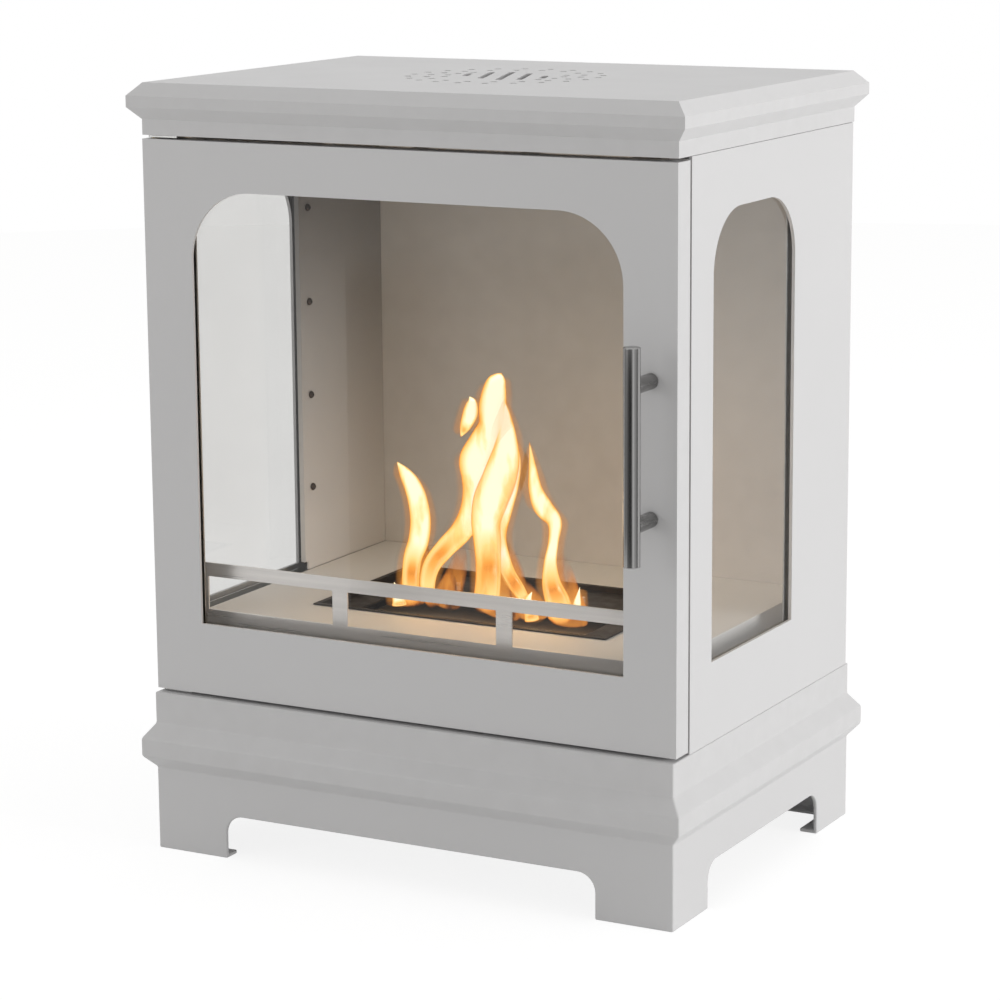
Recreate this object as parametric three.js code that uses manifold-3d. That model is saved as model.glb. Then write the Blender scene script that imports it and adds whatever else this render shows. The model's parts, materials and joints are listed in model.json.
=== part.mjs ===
// Free-standing bioethanol fireplace: a sheet-steel case on a moulded plinth, with a hinged glass door,
// a fixed pane in each side, a moulded cap with vent holes, and a burner let into the hearth plate.
//
// Millimetres, +Z up. While the parts are made, x = 0 is the middle, y = 0 is the front face of the
// door with y growing towards the back, and z = 0 is the floor. The last step moves everything along
// y, so that the origin ends on the floor, under the middle of the object's bounding box.

import * as THREE from 'three';
import { mergeVertices } from 'three/addons/utils/BufferGeometryUtils.js';
import Module from 'manifold-3d';

const wasm = await Module();
wasm.setup();

// ---------------------------------------------------------------- driving dimensions

const FIT = 0.3;                    // clearance between pieces that lie on or in each other
const OVERSHOOT = 2;                // how far a cutting tool runs past the face that it cuts

// Plinth
const PLINTH_FRONT_STEP = 4.4;      // how far its front face stands before the door
const PLINTH_REAR_STEP = 5;         // how far its rear face stands behind the case
const PLINTH_SHEET = 3;
const PLINTH_TOP = 122;             // height of its top face
const PLINTH_MOULD_TOP = 98;        // where the moulding starts to slope out
const PLINTH_MOULD_UPPER = 86.7;    // top and bottom of the moulding's vertical band
const PLINTH_MOULD_LOWER = 73;
const PLINTH_MOULD_BOTTOM = 63.7;   // where the undercut meets the lower face
const PLINTH_MOULD_OUT = 8.3;
const PLINTH_TOP_FLANGE = 28;       // inward return that the case stands on
const FOOT_WIDTH_FRONT = 61;        // each foot, seen from the front and from the side
const FOOT_WIDTH_SIDE = 58.5;
const FOOT_FLANGE = 14;             // inward return at the bottom of each foot
const ARCH_HEIGHT = 33.5;
const ARCH_RADIUS = 14;

// Case
const CASE_WIDTH = 431;             // also across the plinth's flat faces
const CASE_BACK = 305.4;            // rear face, measured from the door's front face
const CASE_SHEET = 2.5;
const CASE_TOP = 539.4;             // top edge of the side panels
const CASE_FRONT = 21.8;            // front edge of the side panels
const SIDE_FRONT_FLANGE = 14.5;     // inward returns of a side panel
const SIDE_REAR_FLANGE = 16;
const SIDE_TOP_FLANGE = 15;
const FLANGE_SHEET = 2;
const BACK_SCREW_ROWS = [134, 527];
const PLATE = 1.5;                  // inner plates: bottom, top, back and firebox
const SIDE_WINDOW_FRONT = 57.5;
const SIDE_WINDOW_BACK = 198.5;
const SIDE_WINDOW_SILL = 180.6;
const SIDE_WINDOW_TOP = 498.5;
const SIDE_WINDOW_RADIUS = 45;
const BOTTOM_UPSTAND = 14;
const FLUE_RADIUS = 62;             // round outlet in the case's top panel

// Back panel's ventilation slots
const SLOT_LENGTH = 34;
const SLOT_HEIGHT = 5;
const SLOT_PITCH = 48;
const SLOTS_PER_ROW = 7;
const SLOT_ROWS = [146, 158, 500, 512];

// Door
const DOOR_SHEET = 2;
const DOOR_DEPTH = 19.2;            // depth of the returns round its edge
const DOOR_BOTTOM = 124.5;
const DOOR_TOP = 537.1;
const DOOR_BORDER = 40.8;           // from the door's side to its window
const WINDOW_SILL = 178.3;
const WINDOW_TOP = 501;
const WINDOW_RADIUS = 50;

// Panes
const GLASS = 4;
const GLASS_OVERLAP = 9;            // how far a pane reaches behind the edge of its window
const GASKET = 1.5;
const GASKET_WIDTH = 7;

// Hinges: pins that stand in plates under and over the door's left end
const HINGE_FROM_SIDE = 6;          // axis to the door's outer left face
const HINGE_FROM_FRONT = 10.2;      // axis to the door's front face
const PIN_RADIUS = 2.2;
const PIN_LENGTH = 12;
const BUSH_WALL = 1.2;
const BUSH_LENGTH = 6;
const RUNNING = 0.1;                // radial play of the pin in its bush
const HINGE_PLATE_WIDTH = 24.6;
const HINGE_PLATE_FRONT = 4.2;
const HINGE_PLATE_BACK = 60;

// Handle
const HANDLE_FROM_SIDE = 19.7;      // bar's axis to the door's side
const HANDLE_Z = 340.4;
const HANDLE_CENTRES = 96;
const HANDLE_LENGTH = 151;
const HANDLE_RADIUS = 6;
const HANDLE_OUT = 30;              // bar's axis to the door's face
const HANDLE_CHAMFER = 0.6;
const POST_RADIUS = 5.6;
const HANDLE_SCREW_GRIP = 12;       // depth of the screws in the posts

// Magnetic catch behind the handle
const CATCH_HEIGHT = 20;
const CATCH_BRACKET_HEIGHT = 46;
const CATCH_BRACKET_WIDTH = 13;
const STRIKE_HEIGHT = 36;
const STRIKE_SHEET = 1.2;
const CATCH_PLATE = 1.5;
const STRIKE_ROOM = 1.3;            // on both sides, to the pane's holder and the door's return
const MAGNET_ROOM = 4.3;
const CATCH_SCREW_INSET = 6;

// Hearth plate, guard and firebox walls
const HEARTH_TOP = 182;
const HEARTH_FROM_SIDE = 26;        // from the case's side face
const FIREBOX_BACK = 296;           // front face of the firebox's rear wall
const FIREBOX_TOP = 526;
const LEFT_CHEEK_FRONT = 171;
const RIGHT_CHEEK_FRONT = 255;
const CHEEK_FOLD = 4.2;             // outward fold along the left cheek's front edge
const CHEEK_RELIEF = 6.5;           // the fold stops this far above the hearth
const CHEEK_FLANGE = 14;
const HEARTH_FRONT_FLANGE = 42;
const GUARD_FRONT = 23;
const GUARD_BOTTOM = 150;
const GUARD_SILL = 183.6;
const GUARD_HEAD = 209;
const GUARD_TOP = 219.5;
const GUARD_MIDDLE_WINDOW = 123.6;
const GUARD_FROM_SIDE = 20.3;       // from the case's side face to the guard's end
const GUARD_POST = 13;
const GUARD_END = 12;
const GUARD_SCREW_FROM_END = 45.2;
const GUARD_SCREW_UP = 10;          // screws above the guard's lower edge
const WALL_FOOT = 30;               // how far the rear wall reaches down behind the hearth plate
const WALL_RETURN_SHORTER = 1.5;    // at each end, than the hearth plate
const ROOF_SETBACK = 4;
const ROOF_SLOT_LENGTH = 76;
const ROOF_SLOT_WIDTH = 22;
const ROOF_SLOT_PITCH_X = 90;
const ROOF_SLOT_PITCH_Y = 45;

// Bracket behind the left cheek that holds the rear edge of the left pane
const CLAMP_SHEET = 2;
const CLAMP_BACK = 194;
const CLAMP_PANE_BACK = 206;
const CLAMP_BOTTOM = 186;
const CLAMP_TOP = 510;

// Burner let into the hearth plate
const BURNER_X = 247;               // size over its flange
const BURNER_Y = 150;
const BURNER_MIDDLE_Y = 150;
const BURNER_FLANGE = 3;
const BURNER_SHEET = 1;
const BURNER_DEPTH = 48;
const WICK_HEIGHT = 26;
const BURNER_LEDGE = 4;             // depth of the top plate below the hearth
const BURNER_SLOT_LENGTH = 190;
const BURNER_SLOT_FRONT = 96;
const BURNER_SLOT_WIDTH = 52;
const SHUTTER_LENGTH = 210;
const SHUTTER_LAP = 3;              // how far the closed shutter covers past the slot
const SHUTTER_SHEET = 1.2;
const PEG_RADIUS = 1.7;
const PEG_SPACING = 108;
const PEG_HEIGHT = 6;
const PEG_FROM_EDGE = 14;

// Cap
const CAP_GAP = 0.4;                // shadow line between the case and the cap
const CAP_SIDE_STEP = 0.2;          // how far its fascia stands beside the case
const CAP_FRONT_SETBACK = 0.7;
const CAP_REAR_STEP = 1.5;
const CAP_SHEET = 2.5;
const CAP_FASCIA = 11.4;            // heights, from the bottom of the cap
const CAP_BAND_LOWER = 20.4;
const CAP_BAND_UPPER = 28.7;
const CAP_HEIGHT = 38;
const CAP_MOULD_OUT = 8.2;
const CAP_CHAMFER_IN = 9;           // slope from the band's top edge in to the flat top
const CAP_FLANGE = 26;              // inward return that rests on the case
const VENT_MIDDLE_Y = 158;
// Rings of holes: radius, number for a whole turn, and how far from the X axis the ring reaches.
const VENT_RINGS = [[72, 22, 72], [58, 18, 58], [45, 18, 30]];
const VENT_HOLE_RADIUS = 3.2;
const VENT_BARS = [[-32, 26], [-16, 62], [0, 78], [16, 62], [32, 26]];  // place and length of slots
const VENT_BAR_WIDTH = 5;
const VENT_BAR_LEAN = 0.35;         // radians

// Deflector under the vent
const BAFFLE_SIZE = 176;
const BAFFLE_HEIGHT = 28;           // above the case's top panel

// Screws
const SCREW_HEAD_RADIUS = 3.4;
const SCREW_HEAD_HEIGHT = 2.2;
const SCREW_SHANK_RADIUS = 1.8;
const SCREW_SIDES = 8;
const SCREW_HEAD_ROOM = 1;          // radial room for a head in a larger hole
const SCREW_HEAD_TAPER = 0.6;       // share of the head that is left at its sloping top
const CHEEK_SCREW_HEAD = 3;
const CHEEK_SCREW_HEIGHT = 2.6;
const CHEEK_SCREW_PITCH = 73.7;
const CHEEK_SCREW_LOWEST = 248;
const CHEEK_SCREW_FROM_EDGE = 12;

// Frames that hold the panes against the sheets: a foot on the sheet, a riser and a lip over the pane
const HOLDER_SHEET = 1.2;
const HOLDER_FOOT = 7;
const HOLDER_GAP = 1;               // between the pane's edge and the riser
const HOLDER_LAP = 7;
const NUT_RADIUS = 2.7;
const NUT_ROWS = [230, 440];
const LEFT_HOLDER_END = 190;        // the left pane's holder stops here, before the clamp

// ---------------------------------------------------------------- finishes

function finish(color, roughness, metalness) {
  return new THREE.MeshStandardMaterial({ color, roughness, metalness });
}

const PAINT = () => finish('#cbcac9', 0.45, 0.1);
const INNER_PAINT = () => finish('#b5b0ac', 0.55, 0.15);
const STAINLESS = () => finish('#b9b4ae', 0.35, 1);
const BLACK_STEEL = () => finish('#3a3533', 0.55, 0.6);
const ZINC = () => finish('#9a9a98', 0.4, 1);
const DARK_SCREW = () => finish('#3b342f', 0.4, 0.8);
const PANE = () => finish('#dfe4e2', 0.05, 0);
const RUBBER = () => finish('#2c2b2a', 0.8, 0);
const CERAMIC = () => finish('#e6e0d4', 0.95, 0);
const BRASS = () => finish('#b59a58', 0.35, 1);

// ---------------------------------------------------------------- solids and booleans

// A closed three.js geometry becomes a solid that can be joined and cut.
function solid(geometry) {
  geometry.deleteAttribute('normal');
  geometry.deleteAttribute('uv');
  const merged = mergeVertices(geometry, 1e-4);
  const vertProperties = new Float32Array(merged.attributes.position.array);
  const triVerts = new Uint32Array(merged.index.array);
  return new wasm.Manifold(new wasm.Mesh({ numProp: 3, vertProperties, triVerts }));
}

const join = (...pieces) => pieces.reduce((whole, piece) => whole.add(piece));
const cut = (piece, ...tools) => tools.reduce((rest, tool) => rest.subtract(tool), piece);

function box(x0, x1, y0, y1, z0, z1) {
  const geometry = new THREE.BoxGeometry(x1 - x0, y1 - y0, z1 - z0);
  geometry.translate((x0 + x1) / 2, (y0 + y1) / 2, (z0 + z1) / 2);
  return solid(geometry);
}

// A profile of [radius, distance] points turned round a line that starts at a point and runs along
// a direction.
function turned(profile, start, direction, sides = 12) {
  const geometry = new THREE.LatheGeometry(profile.map(([r, d]) => new THREE.Vector2(r, d)), sides);
  const turn = new THREE.Quaternion();
  turn.setFromUnitVectors(new THREE.Vector3(0, 1, 0), new THREE.Vector3(...direction));
  geometry.applyQuaternion(turn);
  geometry.translate(...start);
  return solid(geometry);
}

// The two ends of a stretch that is mirrored to one side, in rising order.
function span(side, a, b) {
  return [side * a, side * b].sort((p, q) => p - q);
}

function rod(radius, length, start, direction, sides = 16) {
  return turned([[0, 0], [radius, 0], [radius, length], [0, length]], start, direction, sides);
}

// An outline with square lower corners and round upper ones.
function archOutline(left, right, bottom, top, radius) {
  const outline = new THREE.Shape();
  outline.moveTo(left, bottom);
  outline.lineTo(right, bottom);
  outline.lineTo(right, top - radius);
  outline.absarc(right - radius, top - radius, radius, 0, Math.PI / 2, false);
  outline.absarc(left + radius, top - radius, radius, Math.PI / 2, Math.PI, false);
  outline.closePath();
  return outline;
}

// A slot with round ends, centred on a point and turned by an angle.
function slotOutline(u, v, length, width, angle) {
  const r = width / 2;
  const run = length / 2 - r;
  const [du, dv] = [Math.cos(angle) * run, Math.sin(angle) * run];
  const outline = new THREE.Shape();
  outline.absarc(u + du, v + dv, r, angle - Math.PI / 2, angle + Math.PI / 2, false);
  outline.absarc(u - du, v - dv, r, angle + Math.PI / 2, angle + 1.5 * Math.PI, false);
  outline.closePath();
  return outline;
}

// Outlines extruded along each axis: across the front (x, z), across a side (y, z), and flat (x, y).
function extruded(outline, depth, steps) {
  return new THREE.ExtrudeGeometry(outline, { depth, bevelEnabled: false, curveSegments: steps });
}

function throughFront(outline, y0, y1, steps = 10) {
  const geometry = extruded(outline, y1 - y0, steps);
  geometry.rotateX(Math.PI / 2);
  geometry.translate(0, y1, 0);
  return solid(geometry);
}

function throughSide(outline, x0, x1, steps = 10) {
  const geometry = extruded(outline, x1 - x0, steps);
  const basis = new THREE.Matrix4();
  basis.makeBasis(new THREE.Vector3(0, 1, 0), new THREE.Vector3(0, 0, 1), new THREE.Vector3(1, 0, 0));
  geometry.applyMatrix4(basis);
  geometry.translate(x0, 0, 0);
  return solid(geometry);
}

function throughTop(outline, z0, z1, steps = 4) {
  const geometry = extruded(outline, z1 - z0, steps);
  geometry.translate(0, 0, z0);
  return solid(geometry);
}

// A block whose four walls follow a moulded profile of [stand-out, height] points, from the bottom up.
function mouldedBlock(profile, halfWidth, front, back) {
  const positions = [];
  const faces = [];
  for (const [out, z] of profile) {
    positions.push(-halfWidth - out, front - out, z, halfWidth + out, front - out, z);
    positions.push(halfWidth + out, back + out, z, -halfWidth - out, back + out, z);
  }
  for (let ring = 0; ring < profile.length - 1; ring += 1) {
    for (let corner = 0; corner < 4; corner += 1) {
      const a = ring * 4 + corner;
      const b = ring * 4 + (corner + 1) % 4;
      faces.push(a, b, b + 4, a, b + 4, a + 4);
    }
  }
  const last = (profile.length - 1) * 4;
  faces.push(0, 2, 1, 0, 3, 2, last, last + 1, last + 2, last, last + 2, last + 3);
  const geometry = new THREE.BufferGeometry();
  geometry.setAttribute('position', new THREE.Float32BufferAttribute(positions, 3));
  geometry.setIndex(faces);
  return solid(geometry);
}

// A pan-head screw that seats on a face: the head stands along the direction, the shank runs back.
function screw(seat, direction, shank, head = SCREW_HEAD_RADIUS, height = SCREW_HEAD_HEIGHT) {
  const profile = [
    [0, -shank], [SCREW_SHANK_RADIUS, -shank], [SCREW_SHANK_RADIUS, FIT], [head, FIT],
    [head, FIT + height * SCREW_HEAD_TAPER], [head * SCREW_HEAD_TAPER, FIT + height], [0, FIT + height],
  ];
  return turned(profile, seat, direction, SCREW_SIDES);
}

function screwHole(seat, direction, depth) {
  const start = seat.map((value, axis) => value + direction[axis] * OVERSHOOT);
  const inward = direction.map((value) => -value);
  return rod(SCREW_SHANK_RADIUS + FIT, depth + OVERSHOOT, start, inward, SCREW_SIDES);
}

// ---------------------------------------------------------------- the object's group

const parts = new THREE.Group();

function add(name, piece, material) {
  const { numProp, vertProperties, triVerts } = piece.getMesh();
  const positions = new Float32Array((vertProperties.length / numProp) * 3);
  for (let vertex = 0; vertex < positions.length / 3; vertex += 1) {
    for (let axis = 0; axis < 3; axis += 1) {
      positions[vertex * 3 + axis] = vertProperties[vertex * numProp + axis];
    }
  }
  const geometry = new THREE.BufferGeometry();
  geometry.setAttribute('position', new THREE.BufferAttribute(positions, 3));
  geometry.setIndex(new THREE.BufferAttribute(new Uint32Array(triVerts), 1));
  geometry.computeVertexNormals();
  const mesh = new THREE.Mesh(geometry, material);
  mesh.name = name;
  parts.add(mesh);
}

// ---------------------------------------------------------------- places worked out from the sizes

const caseHalf = CASE_WIDTH / 2;
const plinthHalf = caseHalf;
const plinthFront = -PLINTH_FRONT_STEP;
const plinthBack = CASE_BACK + PLINTH_REAR_STEP;
const caseInner = caseHalf - CASE_SHEET;
const caseBottom = PLINTH_TOP + FIT;
const bottomPlateTop = caseBottom + PLATE;
const topPlateTop = CASE_TOP;
const topPlateBottom = topPlateTop - PLATE;
const backPanelFront = CASE_BACK - PLATE;
const flangeBottom = bottomPlateTop + FIT;
const flangeTop = topPlateBottom - FIT;
const capBottom = CASE_TOP + CAP_GAP;
const hingeX = -caseHalf + HINGE_FROM_SIDE;
const hingeY = HINGE_FROM_FRONT;
const hingePlateLeft = -caseInner + FIT;
const hingePlateRight = hingePlateLeft + HINGE_PLATE_WIDTH;
const bushRadius = PIN_RADIUS + RUNNING + BUSH_WALL;
const windowHalf = caseHalf - DOOR_BORDER;
const holderHalf = windowHalf + GLASS_OVERLAP + HOLDER_GAP + HOLDER_SHEET + HOLDER_FOOT;
const handleX = caseHalf - HANDLE_FROM_SIDE;

// ---------------------------------------------------------------- plinth

function plinthShell() {
  const profile = [
    [0, 0], [0, PLINTH_MOULD_BOTTOM], [PLINTH_MOULD_OUT, PLINTH_MOULD_LOWER],
    [PLINTH_MOULD_OUT, PLINTH_MOULD_UPPER], [0, PLINTH_MOULD_TOP], [0, PLINTH_TOP],
  ];
  const inside = profile.map(([out, z]) => [out - PLINTH_SHEET, z]);
  inside[0][1] = -OVERSHOOT;
  inside[inside.length - 1][1] = PLINTH_TOP - PLINTH_SHEET;
  const shell = cut(
    mouldedBlock(profile, plinthHalf, plinthFront, plinthBack),
    mouldedBlock(inside, plinthHalf, plinthFront, plinthBack),
  );
  const plate = (inset, z0, z1) => box(-plinthHalf + inset, plinthHalf - inset, plinthFront + inset,
    plinthBack - inset, z0, z1);
  const opening = plate(PLINTH_TOP_FLANGE, PLINTH_TOP - PLINTH_SHEET - OVERSHOOT, PLINTH_TOP + OVERSHOOT);
  const footFlange = cut(
    plate(0, 0, PLINTH_SHEET),
    plate(FOOT_FLANGE, -OVERSHOOT, PLINTH_SHEET + OVERSHOOT),
  );
  const frontArch = archOutline(-plinthHalf + FOOT_WIDTH_FRONT, plinthHalf - FOOT_WIDTH_FRONT,
    -OVERSHOOT, ARCH_HEIGHT, ARCH_RADIUS);
  const sideArch = archOutline(plinthFront + FOOT_WIDTH_SIDE, plinthBack - FOOT_WIDTH_SIDE,
    -OVERSHOOT, ARCH_HEIGHT, ARCH_RADIUS);
  return cut(
    join(shell, footFlange),
    opening,
    throughFront(frontArch, plinthFront - OVERSHOOT, plinthBack + OVERSHOOT, 6),
    throughSide(sideArch, -plinthHalf - OVERSHOOT, plinthHalf + OVERSHOOT, 6),
  );
}

// ---------------------------------------------------------------- hinge plates, pins and bushes

function hingePlate(which) {
  const [z0, z1] = which === 'lower' ? [caseBottom, bottomPlateTop] : [topPlateBottom, topPlateTop];
  return cut(
    box(hingePlateLeft, hingePlateRight, HINGE_PLATE_FRONT, HINGE_PLATE_BACK, z0, z1),
    rod(PIN_RADIUS + RUNNING, PLATE + 2 * OVERSHOOT, [hingeX, hingeY, z0 - OVERSHOOT], [0, 0, 1]),
  );
}

function hingePin(which) {
  const start = which === 'lower' ? caseBottom : topPlateTop;
  const direction = [0, 0, which === 'lower' ? 1 : -1];
  return rod(PIN_RADIUS, PIN_LENGTH, [hingeX, hingeY, start], direction);
}

function bushRange(which) {
  return which === 'lower'
    ? [DOOR_BOTTOM - FIT, DOOR_BOTTOM - FIT + BUSH_LENGTH]
    : [DOOR_TOP + FIT - BUSH_LENGTH, DOOR_TOP + FIT];
}

function hingeBush(which) {
  const [z0, z1] = bushRange(which);
  return cut(
    rod(bushRadius, z1 - z0, [hingeX, hingeY, z0], [0, 0, 1]),
    rod(PIN_RADIUS + RUNNING, z1 - z0 + 2 * OVERSHOOT, [hingeX, hingeY, z0 - OVERSHOOT], [0, 0, 1]),
  );
}

// The cut-out that leaves room for a hinge plate in the case's bottom and top plates.
function hingeNotch(z0, z1) {
  return box(-caseHalf, hingePlateRight + FIT, 0, HINGE_PLATE_BACK + FIT, z0 - OVERSHOOT, z1 + OVERSHOOT);
}

// ---------------------------------------------------------------- case

const plateHalf = caseInner - FIT;
const plateFront = CASE_FRONT + FLANGE_SHEET + FIT;
const plateBack = backPanelFront - FIT;

function caseBottomPanel() {
  const plate = box(-plateHalf, plateHalf, plateFront, plateBack, caseBottom, bottomPlateTop);
  const upstands = [-1, 1].map((side) => box(...span(side, plateHalf - PLATE, plateHalf),
    HINGE_PLATE_BACK + FIT, plateBack - SIDE_REAR_FLANGE, caseBottom, bottomPlateTop + BOTTOM_UPSTAND));
  return cut(join(plate, ...upstands), hingeNotch(caseBottom, bottomPlateTop));
}

const capScrewPlaces = [-1, 1].map((side) => [side * (plateHalf - CAP_FLANGE / 2), VENT_MIDDLE_Y]);
const flueMiddleY = VENT_MIDDLE_Y;

function caseTopPanel() {
  const plate = box(-plateHalf, plateHalf, plateFront, plateBack, topPlateBottom, topPlateTop);
  return cut(
    plate,
    hingeNotch(topPlateBottom, topPlateTop),
    rod(FLUE_RADIUS, PLATE + 2 * OVERSHOOT, [0, flueMiddleY, topPlateBottom - OVERSHOOT], [0, 0, 1], 32),
    ...capScrewPlaces.map(([x, y]) => screwHole([x, y, topPlateBottom], [0, 0, -1], PLATE + OVERSHOOT)),
  );
}

function sidePanel(side) {
  const flange = (reach, y0, y1, z0, z1) => box(...span(side, caseInner - reach, caseHalf), y0, y1, z0, z1);
  const whole = join(
    box(...span(side, caseInner, caseHalf), CASE_FRONT, CASE_BACK, caseBottom, CASE_TOP),
    flange(SIDE_FRONT_FLANGE, CASE_FRONT, CASE_FRONT + FLANGE_SHEET, flangeBottom, flangeTop),
    flange(SIDE_REAR_FLANGE, plateBack - FLANGE_SHEET, plateBack, flangeBottom, flangeTop),
    flange(SIDE_TOP_FLANGE, plateFront, plateBack, flangeTop - FLANGE_SHEET, flangeTop),
  );
  const window = archOutline(SIDE_WINDOW_FRONT, SIDE_WINDOW_BACK, SIDE_WINDOW_SILL, SIDE_WINDOW_TOP,
    SIDE_WINDOW_RADIUS);
  const cuts = [throughSide(window, ...span(side, caseInner - OVERSHOOT, caseHalf + OVERSHOOT))];
  const flangeUnder = flangeTop - FLANGE_SHEET - OVERSHOOT;
  for (const [x, y] of capScrewPlaces) {
    const radius = SCREW_HEAD_RADIUS + SCREW_HEAD_ROOM;
    const room = rod(radius, FLANGE_SHEET + 2 * OVERSHOOT, [x, y, flangeUnder], [0, 0, 1]);
    cuts.push(room);
  }
  if (side > 0) {
    const depth = CATCH_PLATE + FIT + FLANGE_SHEET + OVERSHOOT;
    cuts.push(...catchScrewSeats.map((seat) => screwHole(seat, [0, -1, 0], depth)));
  }
  if (side < 0) {
    cuts.push(box(-caseInner + FIT / 2, hingePlateRight + FIT, plateFront - FIT, HINGE_PLATE_BACK + FIT,
      flangeUnder, flangeTop + FIT));
  }
  cuts.push(...backScrewSeats.filter(([x]) => x * side > 0)
    .map((seat) => screwHole(seat, [0, 1, 0], PLATE + FIT + FLANGE_SHEET + OVERSHOOT)));
  return cut(whole, ...cuts);
}

const backScrewX = caseInner - SIDE_REAR_FLANGE / 2;
const backScrewSeats = [-1, 1].flatMap((side) => (
  BACK_SCREW_ROWS.map((z) => [side * backScrewX, CASE_BACK, z])));

function backPanel() {
  const panel = box(-plateHalf, plateHalf, backPanelFront, CASE_BACK, caseBottom, topPlateTop);
  const slots = [];
  for (const z of SLOT_ROWS) {
    for (let column = 0; column < SLOTS_PER_ROW; column += 1) {
      const x = (column - (SLOTS_PER_ROW - 1) / 2) * SLOT_PITCH;
      slots.push(box(x - SLOT_LENGTH / 2, x + SLOT_LENGTH / 2, backPanelFront - OVERSHOOT,
        CASE_BACK + OVERSHOOT, z - SLOT_HEIGHT / 2, z + SLOT_HEIGHT / 2));
    }
  }
  return cut(panel, ...slots, ...backScrewSeats.map((seat) => screwHole(seat, [0, 1, 0], PLATE + OVERSHOOT)));
}

// ---------------------------------------------------------------- magnetic catch

const strikeFront = DOOR_SHEET + FIT;
const catchBracketBack = CASE_FRONT - FIT;
const catchBracketFront = catchBracketBack - CATCH_PLATE;
const doorReturnInner = caseHalf - DOOR_SHEET;
const catchX = (holderHalf + doorReturnInner) / 2;
const catchHalfRoom = (doorReturnInner - holderHalf) / 2;
const catchScrewUp = CATCH_BRACKET_HEIGHT / 2 - CATCH_SCREW_INSET;
const catchScrewSeats = [-1, 1].map((end) => [catchX, catchBracketFront, HANDLE_Z + end * catchScrewUp]);

function catchBracket() {
  const [halfWidth, halfHeight] = [CATCH_BRACKET_WIDTH / 2, CATCH_BRACKET_HEIGHT / 2];
  const plate = box(catchX - halfWidth, catchX + halfWidth, catchBracketFront, catchBracketBack,
    HANDLE_Z - halfHeight, HANDLE_Z + halfHeight);
  return cut(plate, ...catchScrewSeats.map((seat) => screwHole(seat, [0, -1, 0], CATCH_PLATE + OVERSHOOT)));
}

function catchMagnet() {
  const [front, halfWidth] = [strikeFront + STRIKE_SHEET + FIT, catchHalfRoom - MAGNET_ROOM];
  return box(catchX - halfWidth, catchX + halfWidth, front, catchBracketFront - FIT,
    HANDLE_Z - CATCH_HEIGHT / 2, HANDLE_Z + CATCH_HEIGHT / 2);
}

function catchStrike() {
  const halfWidth = catchHalfRoom - STRIKE_ROOM;
  return box(catchX - halfWidth, catchX + halfWidth, strikeFront, strikeFront + STRIKE_SHEET,
    HANDLE_Z - STRIKE_HEIGHT / 2, HANDLE_Z + STRIKE_HEIGHT / 2);
}

// ---------------------------------------------------------------- door

const handleScrewSeats = [-1, 1].map((end) => [handleX, DOOR_SHEET, HANDLE_Z + end * HANDLE_CENTRES / 2]);

function doorFrame() {
  const block = box(-caseHalf, caseHalf, 0, DOOR_DEPTH, DOOR_BOTTOM, DOOR_TOP);
  const hollow = box(-caseHalf + DOOR_SHEET, caseHalf - DOOR_SHEET, DOOR_SHEET, DOOR_DEPTH + OVERSHOOT,
    DOOR_BOTTOM + DOOR_SHEET, DOOR_TOP - DOOR_SHEET);
  const window = archOutline(-windowHalf, windowHalf, WINDOW_SILL, WINDOW_TOP, WINDOW_RADIUS);
  const bushHoles = ['lower', 'upper'].map((which) => {
    const [z0, z1] = bushRange(which);
    return rod(bushRadius + FIT / 3, z1 - z0 + 2 * OVERSHOOT, [hingeX, hingeY, z0 - OVERSHOOT], [0, 0, 1]);
  });
  return cut(
    block,
    hollow,
    throughFront(window, -OVERSHOOT, DOOR_SHEET + OVERSHOOT),
    ...bushHoles,
    ...handleScrewSeats.map((seat) => screwHole(seat, [0, 1, 0], DOOR_SHEET + OVERSHOOT)),
  );
}

const gasketFront = DOOR_SHEET + FIT;
const doorGlassFront = gasketFront + GASKET + FIT;
const doorGlassBack = doorGlassFront + GLASS;

// A rectangle round the door's window, grown on all four sides, as a flat block between two depths.
function doorBlock(grow, y0, y1) {
  const half = windowHalf + grow;
  return box(-half, half, y0, y1, WINDOW_SILL - grow, WINDOW_TOP + grow);
}

function doorGasket() {
  return cut(
    doorBlock(GLASS_OVERLAP, gasketFront, gasketFront + GASKET),
    doorBlock(GLASS_OVERLAP - GASKET_WIDTH, gasketFront - OVERSHOOT, gasketFront + GASKET + OVERSHOOT),
  );
}

function doorGlass() {
  return doorBlock(GLASS_OVERLAP, doorGlassFront, doorGlassBack);
}

// A frame that holds a pane. block(grow, w0, w1) gives the rectangle round the window between two
// heights above the sheet, and stack is the height of the pane's inner face above that sheet.
function paneHolder(block, stack) {
  const riserInside = GLASS_OVERLAP + HOLDER_GAP;
  const riserOutside = riserInside + HOLDER_SHEET;
  const lip = stack + FIT;
  const high = lip + HOLDER_SHEET + OVERSHOOT;
  return join(
    cut(block(riserInside + HOLDER_FOOT, FIT, FIT + HOLDER_SHEET), block(riserInside, -OVERSHOOT, high)),
    cut(block(riserOutside, FIT, lip + HOLDER_SHEET), block(riserInside, -OVERSHOOT, high)),
    cut(block(riserOutside, lip, lip + HOLDER_SHEET), block(GLASS_OVERLAP - HOLDER_LAP, -OVERSHOOT, high)),
  );
}

const nutX = holderHalf - (HOLDER_SHEET + HOLDER_FOOT) / 2;
const nutSeats = NUT_ROWS.flatMap((z) => (
  [-1, 1].map((side) => [side * nutX, DOOR_SHEET + FIT + HOLDER_SHEET, z])));

function doorGlassHolder() {
  const block = (grow, w0, w1) => doorBlock(grow, DOOR_SHEET + w0, DOOR_SHEET + w1);
  return cut(paneHolder(block, doorGlassBack - DOOR_SHEET),
    ...nutSeats.map((seat) => screwHole(seat, [0, 1, 0], HOLDER_SHEET + OVERSHOOT)));
}

// ---------------------------------------------------------------- handle

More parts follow.
